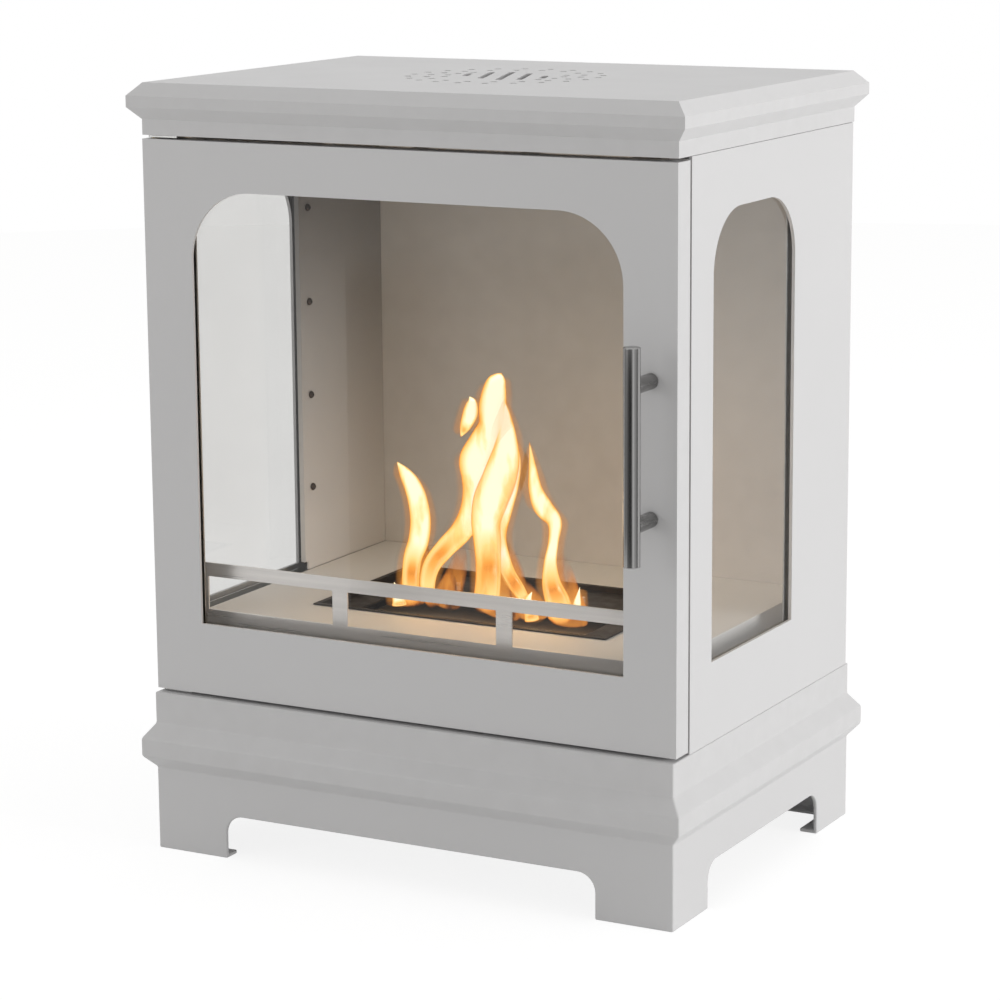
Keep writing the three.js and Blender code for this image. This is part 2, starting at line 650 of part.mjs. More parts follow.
function handleBar() {
  const [r, c, length] = [HANDLE_RADIUS, HANDLE_CHAMFER, HANDLE_LENGTH];
  const profile = [[0, 0], [r - c, 0], [r, c], [r, length - c], [r - c, length], [0, length]];
  return turned(profile, [handleX, -HANDLE_OUT, HANDLE_Z - length / 2], [0, 0, 1], 32);
}

function handlePost(end) {
  const z = HANDLE_Z + end * HANDLE_CENTRES / 2;
  return cut(
    rod(POST_RADIUS, HANDLE_OUT - FIT, [handleX, -HANDLE_OUT, z], [0, 1, 0], 28),
    rod(HANDLE_RADIUS + FIT, 4 * POST_RADIUS, [handleX, -HANDLE_OUT, z - 2 * POST_RADIUS], [0, 0, 1], 32),
    screwHole([handleX, 0, z], [0, 1, 0], HANDLE_SCREW_GRIP + FIT),
  );
}

// ---------------------------------------------------------------- panes of the sides

const sideGlassOuter = caseInner - FIT;
const sideGlassInner = sideGlassOuter - GLASS;

// A rectangle round a side window, grown on all four sides, between two depths inside the panel.
function sideBlock(side, grow, w0, w1) {
  return box(...span(side, caseInner - w1, caseInner - w0), SIDE_WINDOW_FRONT - grow, SIDE_WINDOW_BACK + grow,
    SIDE_WINDOW_SILL - grow, SIDE_WINDOW_TOP + grow);
}

function sideGlass(side) {
  return sideBlock(side, GLASS_OVERLAP, FIT, FIT + GLASS);
}

// The holder of a side pane is open along one edge, so that the pane can be slid in: the left one
// towards the rear, where the clamp closes it, and the right one towards the top.
function sideGlassHolder(side) {
  const frame = paneHolder((grow, w0, w1) => sideBlock(side, grow, w0, w1), FIT + GLASS);
  const reach = SIDE_WINDOW_TOP * 2;
  const open = side < 0
    ? box(-reach, reach, LEFT_HOLDER_END, reach, 0, reach)
    : box(-reach, reach, 0, reach, SIDE_WINDOW_TOP, reach);
  return cut(frame, open);
}

// ---------------------------------------------------------------- firebox

const hearthBottom = HEARTH_TOP - PLATE;
const hearthFront = GUARD_FRONT + PLATE + FIT;
const hearthBack = FIREBOX_BACK - FIT;
const hearthHalf = caseHalf - HEARTH_FROM_SIDE;
const cheekInner = hearthHalf;
const cheekOuter = cheekInner + PLATE;
const cheekBottom = HEARTH_TOP + FIT;
const cheekTop = FIREBOX_TOP - FIT;
const guardHalf = caseHalf - GUARD_FROM_SIDE;
const guardScrewSeats = [-1, 1].map((side) => [
  side * (guardHalf - GUARD_SCREW_FROM_END), GUARD_FRONT, GUARD_BOTTOM + GUARD_SCREW_UP,
]);
const burnerHoleX = BURNER_X / 2 - BURNER_FLANGE;
const burnerHoleY = BURNER_Y / 2 - BURNER_FLANGE;

// The hearth plate is a tray turned over: it stands on its two side legs, and its front edge is
// turned down to carry the guard.
function hearthPlate() {
  const standing = bottomPlateTop + FIT;
  const inner = hearthHalf - PLATE;
  return cut(
    box(-hearthHalf, hearthHalf, hearthFront, hearthBack, standing, HEARTH_TOP),
    box(-inner, inner, hearthFront + PLATE, hearthBack + OVERSHOOT, standing - OVERSHOOT, hearthBottom),
    box(-inner, inner, hearthFront - OVERSHOOT, hearthFront + 2 * PLATE, standing - OVERSHOOT,
      HEARTH_TOP - HEARTH_FRONT_FLANGE),
    box(-burnerHoleX, burnerHoleX, BURNER_MIDDLE_Y - burnerHoleY, BURNER_MIDDLE_Y + burnerHoleY,
      hearthBottom - OVERSHOOT, HEARTH_TOP + OVERSHOOT),
    ...guardScrewSeats.map((seat) => screwHole(seat, [0, -1, 0], 2 * PLATE + FIT + OVERSHOOT)),
  );
}

function guard() {
  const back = GUARD_FRONT + PLATE;
  const plate = box(-guardHalf, guardHalf, GUARD_FRONT, back, GUARD_BOTTOM, GUARD_TOP);
  const window = (x0, x1) => box(x0, x1, GUARD_FRONT - OVERSHOOT, back + OVERSHOOT, GUARD_SILL, GUARD_HEAD);
  const [sideStart, sideEnd] = [GUARD_MIDDLE_WINDOW / 2 + GUARD_POST, guardHalf - GUARD_END];
  return cut(
    plate,
    window(-sideEnd, -sideStart),
    window(-GUARD_MIDDLE_WINDOW / 2, GUARD_MIDDLE_WINDOW / 2),
    window(sideStart, sideEnd),
    ...guardScrewSeats.map((seat) => screwHole(seat, [0, -1, 0], PLATE + OVERSHOOT)),
  );
}

// The rear wall stands off the back panel on its own top and bottom returns.
function fireboxRearWall() {
  const [half, returnHalf] = [cheekOuter + CHEEK_FLANGE, hearthHalf - WALL_RETURN_SHORTER];
  const bottom = HEARTH_TOP - WALL_FOOT;
  const returnBack = backPanelFront - FIT;
  return join(
    box(-half, half, FIREBOX_BACK, FIREBOX_BACK + PLATE, bottom, cheekTop),
    box(-returnHalf, returnHalf, FIREBOX_BACK, returnBack, bottom, bottom + PLATE),
    box(-returnHalf, returnHalf, FIREBOX_BACK, returnBack, cheekTop - PLATE, cheekTop),
  );
}

const cheekScrewSeats = [0, 1, 2, 3].map((row) => [
  -cheekInner, LEFT_CHEEK_FRONT + CHEEK_SCREW_FROM_EDGE, CHEEK_SCREW_LOWEST + row * CHEEK_SCREW_PITCH,
]);

function leftCheek() {
  const wall = box(-cheekOuter, -cheekInner, LEFT_CHEEK_FRONT, hearthBack, cheekBottom, cheekTop);
  const fold = box(-cheekInner - CHEEK_FOLD, -cheekInner, LEFT_CHEEK_FRONT, LEFT_CHEEK_FRONT + PLATE,
    cheekBottom + CHEEK_RELIEF, cheekTop);
  const flange = box(-cheekOuter - CHEEK_FLANGE, -cheekInner, hearthBack - PLATE, hearthBack, cheekBottom,
    cheekTop);
  const notch = box(-cheekOuter - OVERSHOOT, -cheekInner + OVERSHOOT, LEFT_CHEEK_FRONT - OVERSHOOT,
    LEFT_CHEEK_FRONT + CHEEK_FOLD, cheekBottom - OVERSHOOT, cheekBottom + CHEEK_RELIEF);
  return cut(join(wall, fold, flange), notch,
    ...cheekScrewSeats.map((seat) => screwHole(seat, [1, 0, 0], PLATE + OVERSHOOT)));
}

function rightCheek() {
  return join(
    box(cheekInner, cheekOuter, RIGHT_CHEEK_FRONT, hearthBack, cheekBottom, cheekTop),
    box(cheekInner, cheekOuter + CHEEK_FLANGE, hearthBack - PLATE, hearthBack, cheekBottom, cheekTop),
  );
}

// The bracket behind the left cheek: one leg is screwed to the cheek, the web reaches out to the pane,
// and the other leg lies along the pane's rear edge and holds it.
function leftGlassClamp() {
  const cheekSide = -cheekOuter - FIT;
  const paneSide = -sideGlassInner + FIT;
  const front = LEFT_CHEEK_FRONT + CHEEK_FOLD;
  const upright = (x0, x1, y0, y1) => box(x0, x1, y0, y1, CLAMP_BOTTOM, CLAMP_TOP);
  return cut(
    join(
      upright(cheekSide - CLAMP_SHEET, cheekSide, front, CLAMP_BACK),
      upright(paneSide, cheekSide, CLAMP_BACK - CLAMP_SHEET, CLAMP_BACK),
      upright(paneSide, paneSide + CLAMP_SHEET, CLAMP_BACK - CLAMP_SHEET, CLAMP_PANE_BACK),
    ),
    ...cheekScrewSeats.map((seat) => screwHole(seat, [1, 0, 0], PLATE + FIT + CLAMP_SHEET + OVERSHOOT)),
  );
}

// The roof hangs under the case's top panel by its two up-turned ends.
function fireboxRoof() {
  const front = plateFront + ROOF_SETBACK;
  const channel = cut(
    box(-cheekOuter, cheekOuter, front, hearthBack, FIREBOX_TOP, topPlateBottom - FIT),
    box(-cheekOuter + PLATE, cheekOuter - PLATE, front - OVERSHOOT, hearthBack + OVERSHOOT,
      FIREBOX_TOP + PLATE, topPlateTop),
  );
  const slots = [-1, 0, 1].flatMap((row) => [-1, 0, 1].map((column) => {
    const [x, y] = [column * ROOF_SLOT_PITCH_X, flueMiddleY + row * ROOF_SLOT_PITCH_Y];
    return box(x - ROOF_SLOT_LENGTH / 2, x + ROOF_SLOT_LENGTH / 2, y - ROOF_SLOT_WIDTH / 2,
      y + ROOF_SLOT_WIDTH / 2, FIREBOX_TOP - OVERSHOOT, FIREBOX_TOP + PLATE + OVERSHOOT);
  }));
  return cut(channel, ...slots);
}

// ---------------------------------------------------------------- burner

const tankHalfX = burnerHoleX - FIT;
const tankHalfY = burnerHoleY - FIT;
const burnerFlangeBottom = HEARTH_TOP + FIT;
const tankBottom = HEARTH_TOP - BURNER_DEPTH;
const topPlateUpper = HEARTH_TOP - BURNER_LEDGE;

// A block round the burner's middle, between two heights.
function burnerBlock(halfX, halfY, z0, z1) {
  return box(-halfX, halfX, BURNER_MIDDLE_Y - halfY, BURNER_MIDDLE_Y + halfY, z0, z1);
}

function burnerTank() {
  const rim = burnerFlangeBottom + BURNER_SHEET;
  return cut(
    join(
      burnerBlock(BURNER_X / 2, BURNER_Y / 2, burnerFlangeBottom, rim),
      burnerBlock(tankHalfX, tankHalfY, tankBottom, rim),
    ),
    burnerBlock(tankHalfX - BURNER_SHEET, tankHalfY - BURNER_SHEET, tankBottom + BURNER_SHEET,
      rim + OVERSHOOT),
  );
}

const wickBottom = tankBottom + BURNER_SHEET + FIT;
const insideHalfX = tankHalfX - BURNER_SHEET - FIT;
const insideHalfY = tankHalfY - BURNER_SHEET - FIT;

function burnerWick() {
  return burnerBlock(insideHalfX, insideHalfY, wickBottom, wickBottom + WICK_HEIGHT);
}

// The plate with the long slot stands on its own down-turned ends, on top of the wick pad.
function burnerTopPlate() {
  const standing = wickBottom + WICK_HEIGHT + FIT;
  const slotHalf = BURNER_SLOT_LENGTH / 2;
  return cut(
    burnerBlock(insideHalfX, insideHalfY, standing, topPlateUpper),
    burnerBlock(insideHalfX - PLATE, insideHalfY + OVERSHOOT, standing - OVERSHOOT, topPlateUpper - PLATE),
    box(-slotHalf, slotHalf, BURNER_SLOT_FRONT, BURNER_SLOT_FRONT + BURNER_SLOT_WIDTH,
      topPlateUpper - PLATE - OVERSHOOT, topPlateUpper + OVERSHOOT),
  );
}

const shutterWidth = BURNER_SLOT_WIDTH + 2 * SHUTTER_LAP;
const shutterBack = BURNER_MIDDLE_Y + insideHalfY - FIT;
const shutterFront = shutterBack - shutterWidth;
const shutterBottom = topPlateUpper + FIT;

function burnerShutter() {
  const top = shutterBottom + SHUTTER_SHEET;
  const plate = box(-SHUTTER_LENGTH / 2, SHUTTER_LENGTH / 2, shutterFront, shutterBack, shutterBottom, top);
  const pegs = [-1, 1].map((side) => rod(PEG_RADIUS, PEG_HEIGHT + SHUTTER_SHEET / 2,
    [side * PEG_SPACING / 2, shutterFront + PEG_FROM_EDGE, top - SHUTTER_SHEET / 2], [0, 0, 1], 12));
  return join(plate, ...pegs);
}

// ---------------------------------------------------------------- cap

const capHalf = caseHalf + CAP_SIDE_STEP;
const capBack = CASE_BACK + CAP_REAR_STEP;

// The places of one ring's holes. A ring that reaches less far than its radius keeps only its two
// ends, left and right of the slots.
function ventRing([radius, count, reach]) {
  const places = [];
  for (let index = 0; index < count; index += 1) {
    const angle = ((index + 0.5) / count) * 2 * Math.PI;
    const [x, y] = [radius * Math.cos(angle), radius * Math.sin(angle)];
    if (Math.abs(y) <= reach) places.push([x, VENT_MIDDLE_Y + y]);
  }
  return places;
}

function capShell() {
  const profile = [
    [0, capBottom], [0, capBottom + CAP_FASCIA], [CAP_MOULD_OUT, capBottom + CAP_BAND_LOWER],
    [CAP_MOULD_OUT, capBottom + CAP_BAND_UPPER], [CAP_MOULD_OUT - CAP_CHAMFER_IN, capBottom + CAP_HEIGHT],
  ];
  const inside = profile.map(([out, z]) => [out - CAP_SHEET, z]);
  inside[0][1] = capBottom + CAP_SHEET;
  inside[inside.length - 1][1] -= CAP_SHEET;
  const top = capBottom + CAP_HEIGHT;
  const through = [top - CAP_SHEET - OVERSHOOT, top + OVERSHOOT];
  const holes = VENT_RINGS.flatMap(ventRing)
    .map(([x, y]) => rod(VENT_HOLE_RADIUS, through[1] - through[0], [x, y, through[0]], [0, 0, 1], 6));
  const lean = Math.PI / 2 + VENT_BAR_LEAN;
  const bars = VENT_BARS.map(([x, length]) => (
    throughTop(slotOutline(x, VENT_MIDDLE_Y, length, VENT_BAR_WIDTH, lean), ...through)));
  return cut(
    mouldedBlock(profile, capHalf, CAP_FRONT_SETBACK, capBack),
    mouldedBlock(inside, capHalf, CAP_FRONT_SETBACK, capBack),
    mouldedBlock([[-CAP_FLANGE, capBottom - OVERSHOOT], [-CAP_FLANGE, capBottom + CAP_SHEET + OVERSHOOT]],
      capHalf, CAP_FRONT_SETBACK, capBack),
    ...holes,
    ...bars,
    ...capScrewSeats.map((seat) => screwHole(seat, [0, 0, -1], PLATE + CAP_GAP + CAP_SHEET + OVERSHOOT)),
  );
}

const capScrewSeats = capScrewPlaces.map(([x, y]) => [x, y, topPlateBottom]);
const baffleHalf = BAFFLE_SIZE / 2;
const baffleBottom = topPlateTop + BAFFLE_HEIGHT;

// The deflector stands on the case's top panel, on its own two down-turned ends.
function ventBaffle() {
  const [y0, y1] = [VENT_MIDDLE_Y - baffleHalf, VENT_MIDDLE_Y + baffleHalf];
  return cut(
    box(-baffleHalf, baffleHalf, y0, y1, topPlateTop + FIT, baffleBottom + PLATE),
    box(-baffleHalf + PLATE, baffleHalf - PLATE, y0 - OVERSHOOT, y1 + OVERSHOOT, topPlateTop - OVERSHOOT,
      baffleBottom),
  );
}

// ---------------------------------------------------------------- assembly

// One screw or nut for each seat, as nodes numbered from 1.
function addScrews(name, seats, direction, shank, material, head, height) {
  seats.forEach((seat, index) => {
    add(`${name}_${index + 1}`, screw(seat, direction, shank, head, height), material);
  });
}

add('plinth_shell', plinthShell(), PAINT());
add('case_bottom_panel', caseBottomPanel(), INNER_PAINT());
add('case_top_panel', caseTopPanel(), INNER_PAINT());
add('left_side_panel', sidePanel(-1), PAINT());
add('right_side_panel', sidePanel(1), PAINT());
add('back_panel', backPanel(), PAINT());
addScrews('back_panel_screw', backScrewSeats, [0, 1, 0], PLATE + FIT + FLANGE_SHEET, ZINC());

add('left_side_glass', sideGlass(-1), PANE());
add('right_side_glass', sideGlass(1), PANE());
add('left_glass_holder', sideGlassHolder(-1), ZINC());
add('right_glass_holder', sideGlassHolder(1), ZINC());
add('left_glass_clamp', leftGlassClamp(), BLACK_STEEL());

add('firebox_rear_wall', fireboxRearWall(), INNER_PAINT());
add('firebox_left_cheek', leftCheek(), INNER_PAINT());
add('firebox_right_cheek', rightCheek(), INNER_PAINT());
addScrews('left_cheek_screw', cheekScrewSeats, [1, 0, 0], PLATE + FIT + CLAMP_SHEET, DARK_SCREW(),
  CHEEK_SCREW_HEAD, CHEEK_SCREW_HEIGHT);
add('firebox_roof', fireboxRoof(), INNER_PAINT());

add('hearth_plate', hearthPlate(), INNER_PAINT());
add('front_guard', guard(), STAINLESS());
addScrews('front_guard_screw', guardScrewSeats, [0, -1, 0], 2 * PLATE + FIT, ZINC());

add('burner_tank', burnerTank(), BLACK_STEEL());
add('burner_wick_pad', burnerWick(), CERAMIC());
add('burner_top_plate', burnerTopPlate(), BLACK_STEEL());
add('burner_shutter', burnerShutter(), BLACK_STEEL());

add('door_frame', doorFrame(), PAINT());
add('door_gasket', doorGasket(), RUBBER());
add('door_glass', doorGlass(), PANE());
add('door_glass_holder', doorGlassHolder(), ZINC());
addScrews('door_holder_nut', nutSeats, [0, 1, 0], HOLDER_SHEET, ZINC(), NUT_RADIUS);
add('handle_bar', handleBar(), STAINLESS());
add('handle_post_lower', handlePost(-1), STAINLESS());
add('handle_post_upper', handlePost(1), STAINLESS());
addScrews('handle_screw', handleScrewSeats, [0, 1, 0], DOOR_SHEET + HANDLE_SCREW_GRIP, ZINC());
add('catch_strike', catchStrike(), ZINC());

for (const which of ['lower', 'upper']) {
  add(`hinge_plate_${which}`, hingePlate(which), ZINC());
  add(`hinge_pin_${which}`, hingePin(which), ZINC());
  add(`hinge_bush_${which}`, hingeBush(which), BRASS());
}

add('catch_bracket', catchBracket(), ZINC());
add('catch_magnet', catchMagnet(), RUBBER());
addScrews('catch_screw', catchScrewSeats, [0, -1, 0], CATCH_PLATE + FIT + FLANGE_SHEET, ZINC());

add('cap_shell', capShell(), PAINT());
addScrews('cap_screw', capScrewSeats, [0, 0, -1], PLATE + CAP_GAP + CAP_SHEET, ZINC());
add('vent_baffle', ventBaffle(), INNER_PAINT());

// The bounding box runs from the front of the handle to the back of the plinth's moulding.
const foremost = -HANDLE_OUT - HANDLE_RADIUS;
const rearmost = plinthBack + PLINTH_MOULD_OUT;
parts.position.y = -(foremost + rearmost) / 2;

const fireplace = new THREE.Group();
fireplace.add(parts);

export default fireplace;
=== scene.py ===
# %% [markdown]
# # A bioethanol fireplace in pale painted steel
#
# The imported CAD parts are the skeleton: they fix every size, and they carry the moving parts. This
# script dresses them. Sheet-metal parts get the small rounded edges that folding and deburring leave,
# turned and pressed parts are made again with smooth surfaces, and every part gets a material.
#
# Everything is in metres. The origin is on the floor under the middle of the object, X runs to the
# right along the door, Y runs towards the back and Z is up.

import json
import math

import bmesh
import bpy
import numpy as np
from mathutils import Matrix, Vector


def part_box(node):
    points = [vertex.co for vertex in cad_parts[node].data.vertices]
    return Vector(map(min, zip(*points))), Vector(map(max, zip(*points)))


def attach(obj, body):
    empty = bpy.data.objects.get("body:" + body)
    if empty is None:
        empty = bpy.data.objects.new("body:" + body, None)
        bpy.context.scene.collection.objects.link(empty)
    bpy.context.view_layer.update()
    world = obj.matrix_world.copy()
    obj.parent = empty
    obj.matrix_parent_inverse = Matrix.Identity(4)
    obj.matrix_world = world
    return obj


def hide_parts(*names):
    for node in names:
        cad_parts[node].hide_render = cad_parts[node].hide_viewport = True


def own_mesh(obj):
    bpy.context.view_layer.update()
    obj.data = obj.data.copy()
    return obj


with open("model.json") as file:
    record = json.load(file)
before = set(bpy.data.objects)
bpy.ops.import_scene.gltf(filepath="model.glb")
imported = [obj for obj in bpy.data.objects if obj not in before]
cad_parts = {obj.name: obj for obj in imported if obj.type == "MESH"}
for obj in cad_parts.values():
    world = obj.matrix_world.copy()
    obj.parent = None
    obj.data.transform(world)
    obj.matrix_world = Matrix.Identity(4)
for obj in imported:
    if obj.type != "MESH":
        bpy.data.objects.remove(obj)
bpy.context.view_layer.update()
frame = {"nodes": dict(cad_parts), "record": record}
MM = 0.001

# %% [markdown]
# ## The camera
#
# The photograph was taken with a long lens from the front right and a little above. Its place was
# found by matching the straight edges of the case, so that the corners of the plinth, the case and
# the cap fall where they do in the picture. The view direction and the direction to the right of the
# frame are unit vectors, and the third axis is their cross product.

# %% Camera
IMAGE_PIXELS = 1000
FOCAL_PIXELS = 3249.76
SENSOR_WIDTH = 36.0
NEAREST, FARTHEST = 0.05, 60
CAMERA_PLACE = (1.14124, -2.10204, 0.75447)
VIEW_DIRECTION = np.array((-0.46674, 0.86110, -0.20166))
FRAME_RIGHT = np.array((0.87986, 0.47517, -0.00744))


def photo_camera():
    """A camera whose columns are right, up and backwards, with up = right x view direction."""
    data = bpy.data.cameras.new("photo_camera")
    data.sensor_width = SENSOR_WIDTH
    data.lens = FOCAL_PIXELS / IMAGE_PIXELS * SENSOR_WIDTH
    data.clip_start, data.clip_end = NEAREST, FARTHEST
    view = VIEW_DIRECTION / np.linalg.norm(VIEW_DIRECTION)
    right = FRAME_RIGHT - view * FRAME_RIGHT.dot(view)
    right /= np.linalg.norm(right)
    up = np.cross(right, view)
    camera = bpy.data.objects.new("photo_camera", data)
    bpy.context.scene.collection.objects.link(camera)
    pose = np.eye(4)
    pose[:3, 0], pose[:3, 1], pose[:3, 2], pose[:3, 3] = right, up, -view, CAMERA_PLACE
    camera.matrix_world = Matrix(pose.tolist())
    return camera


bpy.context.scene.camera = photo_camera()
print("lens in mm:", round(bpy.context.scene.camera.data.lens, 2))

# %% [markdown]
# ## The studio
#
# The picture has a plain white ground. A white that comes from more light would wash out the pale
# paint, so the world shows white only to rays that come straight from the camera, or by way of glass
# and metal, and lights the object at a lower, even level. The floor is nearly white by its own
# colour, and a weak diffuse share in it keeps the object's soft shadow.

# %% Helpers for node materials
def new_tree(material):
    """An empty node tree with an output, ready to be filled."""
    material.use_nodes = True
    tree = material.node_tree
    tree.nodes.clear()
    return tree


def node(tree, kind, **settings):
    """One shader node. Settings name its properties, or its inputs when they start with a capital."""
    made = tree.nodes.new(kind)
    for key, value in settings.items():
        if key[0].isupper():
            made.inputs[key.replace("_", " ")].default_value = value
        else:
            setattr(made, key, value)
    return made


def link(tree, source, target, output=0, entry=0):
    """Joins an output of one node to an input of another, both by number or by name."""
    tree.links.new(source.outputs[output], target.inputs[entry])


def blended(tree, amount, first, second, output=0, kind="ShaderNodeOutputMaterial"):
    """Shows the first shader where an output of the amount is 0, and the second where it is 1."""
    mixed = node(tree, "ShaderNodeMixShader")
    link(tree, amount, mixed, output, 0)
    link(tree, first, mixed, 0, 1)
    link(tree, second, mixed, 0, 2)
    link(tree, mixed, node(tree, kind))


def seen_rays(tree):
    """1 for rays straight from the camera, through glass or off a mirror, and 0 for the others."""
    path = node(tree, "ShaderNodeLightPath")
    direct = node(tree, "ShaderNodeMath", operation="MAXIMUM")
    seen = node(tree, "ShaderNodeMath", operation="MAXIMUM")
    link(tree, path, direct, "Is Camera Ray", 0)
    link(tree, path, direct, "Is Transmission Ray", 1)
    link(tree, direct, seen, 0, 0)
    link(tree, path, seen, "Is Glossy Ray", 1)
    return seen


# %% World
AMBIENT_LEVEL = 0.50
AMBIENT_COLOUR = (1.0, 0.995, 0.985, 1)
WHITE = (1, 1, 1, 1)


def studio_world(level):
    """White for camera, mirror and glass rays, and an even light of the given level for the rest."""
    world = bpy.data.worlds.new("studio_world")
    bpy.context.scene.world = world
    tree = new_tree(world)
    light = node(tree, "ShaderNodeBackground", Color=AMBIENT_COLOUR, Strength=level)
    white = node(tree, "ShaderNodeBackground", Color=WHITE, Strength=1.0)
    blended(tree, seen_rays(tree), light, white, kind="ShaderNodeOutputWorld")


studio_world(AMBIENT_LEVEL)
bpy.context.scene.view_settings.view_transform = "Standard"
print("ambient level:", AMBIENT_LEVEL)


# %% Lamps
def soft_lamp(name, place, target, size, power):
    """A square area lamp at a place, turned so that it looks at the target."""
    data = bpy.data.lights.new(name, "AREA")
    data.shape = "SQUARE"
    data.size = size
    data.energy = power
    lamp = bpy.data.objects.new(name, data)
    bpy.context.scene.collection.objects.link(lamp)
    lamp.location = place
    away = np.subtract(place, target)
    away = away / np.linalg.norm(away)
    side = np.cross((0, 0, 1), away)
    side /= np.linalg.norm(side)
    pose = np.eye(4)
    pose[:3, 0], pose[:3, 1], pose[:3, 2], pose[:3, 3] = side, np.cross(away, side), away, place
    lamp.matrix_world = Matrix(pose.tolist())
    return lamp


MIDDLE = (0, 0, 0.3)
right_lamp = soft_lamp("right_lamp", (5.0, 0.25, 0.9), MIDDLE, 2.2, 130)
right_lamp.visible_glossy = False
soft_lamp("front_lamp", (-1.9, -3.0, 1.2), MIDDLE, 1.6, 13)
soft_lamp("top_lamp", (0.3, 0.4, 3.0), MIDDLE, 1.8, 10)
print("lamps:", len(bpy.data.lights))


# %% Helpers for meshes
def ring_faces(rows, around, start=0):
    """Quads between rings of points: each joins a point and its neighbour on one ring with the same
    two on the next ring. start is the number of points before the first ring."""
    row, column = np.meshgrid(np.arange(rows - 1), np.arange(around), indexing="ij")
    a, b = start + row * around + column, start + row * around + (column + 1) % around
    return np.stack((a, b, b + around, a + around), axis=-1).reshape(-1, 4)


def fan_faces(around, first, pole):
    """Triangles from one ring of points, which begins at the point first, to a pole."""
    ring = np.arange(around)
    return np.stack((first + ring, first + (ring + 1) % around, np.full(around, pole)), axis=-1)


def grid_faces(rows, columns):
    """Quads of an open grid: each joins a point with the next in its row and both with the next row."""
    row, column = np.meshgrid(np.arange(rows - 1), np.arange(columns - 1), indexing="ij")
    a = row * columns + column
    return np.stack((a, a + 1, a + columns + 1, a + columns), axis=-1).reshape(-1, 4)


def new_piece(name, points, *face_lists, closed=True):
    """A linked object from points and lists of faces. A closed one gets its faces turned outwards."""
    mesh = bpy.data.meshes.new(name)
    faces = [face for faces in face_lists for face in np.asarray(faces).tolist()]
    mesh.from_pydata(np.asarray(points).tolist(), [], faces)
    if closed:
        work = bmesh.new()
        work.from_mesh(mesh)
        bmesh.ops.recalc_face_normals(work, faces=work.faces)
        work.to_mesh(mesh)
        work.free()
    piece = bpy.data.objects.new(name, mesh)
    bpy.context.scene.collection.objects.link(piece)
    return piece


# %% Floor
FLOOR_RADIUS = 4.0
FLOOR_RINGS, FLOOR_SPOKES = 8, 48
SHADOW_SHARE = 0.25
SHADOW_LOSS = 0.6
THROWN_BACK = (0.86, 0.86, 0.86, 1)


def floor():
    """A round floor as rings of points: radius grows with one parameter, angle with the other."""
    radius = np.linspace(0, FLOOR_RADIUS, FLOOR_RINGS + 1)[1:, None]
    angle = np.linspace(0, 2 * np.pi, FLOOR_SPOKES, endpoint=False)[None, :]
    rings = np.stack((radius * np.cos(angle), radius * np.sin(angle), radius * angle * 0), axis=-1)
    piece = new_piece("studio_floor", np.vstack(((0, 0, 0), rings.reshape(-1, 3))),
                      fan_faces(FLOOR_SPOKES, 1, 0), ring_faces(FLOOR_RINGS, FLOOR_SPOKES, 1)[:, ::-1],
                      closed=False)
    return piece


def floor_material(shadow_share):
    """Self-coloured white for the camera, for mirrors and through glass, with a diffuse share that
    takes the shadow, and a plain pale floor for the light that it throws back."""
    material = bpy.data.materials.new("floor_white")
    tree = new_tree(material)
    plain = node(tree, "ShaderNodeBsdfDiffuse", Color=THROWN_BACK)
    faint = node(tree, "ShaderNodeBsdfDiffuse", Color=(shadow_share,) * 3 + (1,))
    glow = node(tree, "ShaderNodeEmission", Color=WHITE, Strength=1 - SHADOW_LOSS * shadow_share)
    both = node(tree, "ShaderNodeAddShader")
    link(tree, faint, both, 0, 0)
    link(tree, glow, both, 0, 1)
    blended(tree, seen_rays(tree), plain, both)
    return material


floor().data.materials.append(floor_material(SHADOW_SHARE))
print("floor radius in metres:", FLOOR_RADIUS)

# %% [markdown]
# A round steel bar in an all-white studio has no shape: every side of it mirrors the same white. A
# photographer stands dark cards round it, and their mirror images run down the bar as dark lines.
# Here a bent card hangs 300 mm in front of the door's handle. Only mirror rays see it, so it takes no
# light from the object and doesn't show in the picture, and it is clear where the bar should stay
# bright. The camera looks down on the bar, which therefore mirrors a place lower than itself.

# %% Card for the handle
CARD_RADIUS = 0.3
CARD_MARGIN = 0.095
CARD_FADE = 0.03
CARD_ROWS, CARD_COLUMNS = 41, 120
ARM_ANGLES, ARM_LIFT = (-42, -28), (0.055, 0)
CARD_SHADES = ((-80, 0.9), (-68, 0.7), (-55, 0.6), (-20, 0.86), (0, 0.95), (25, 0.95), (42, 0.0),
               (50, 0.0), (62, 0.35), (88, 0.6), (104, 0.8), (113, 0.8), (118, 0))


def card_material(name):
    """Black, and as clear as the card's own attribute says."""
    material = bpy.data.materials.new(name)
    tree = new_tree(material)
    cover = node(tree, "ShaderNodeAttribute", attribute_name="cover")
    clear = node(tree, "ShaderNodeBsdfTransparent")
    black = node(tree, "ShaderNodeBsdfDiffuse", Color=(0.01, 0.01, 0.01, 1))
    blended(tree, cover, clear, black, "Fac")
    return material


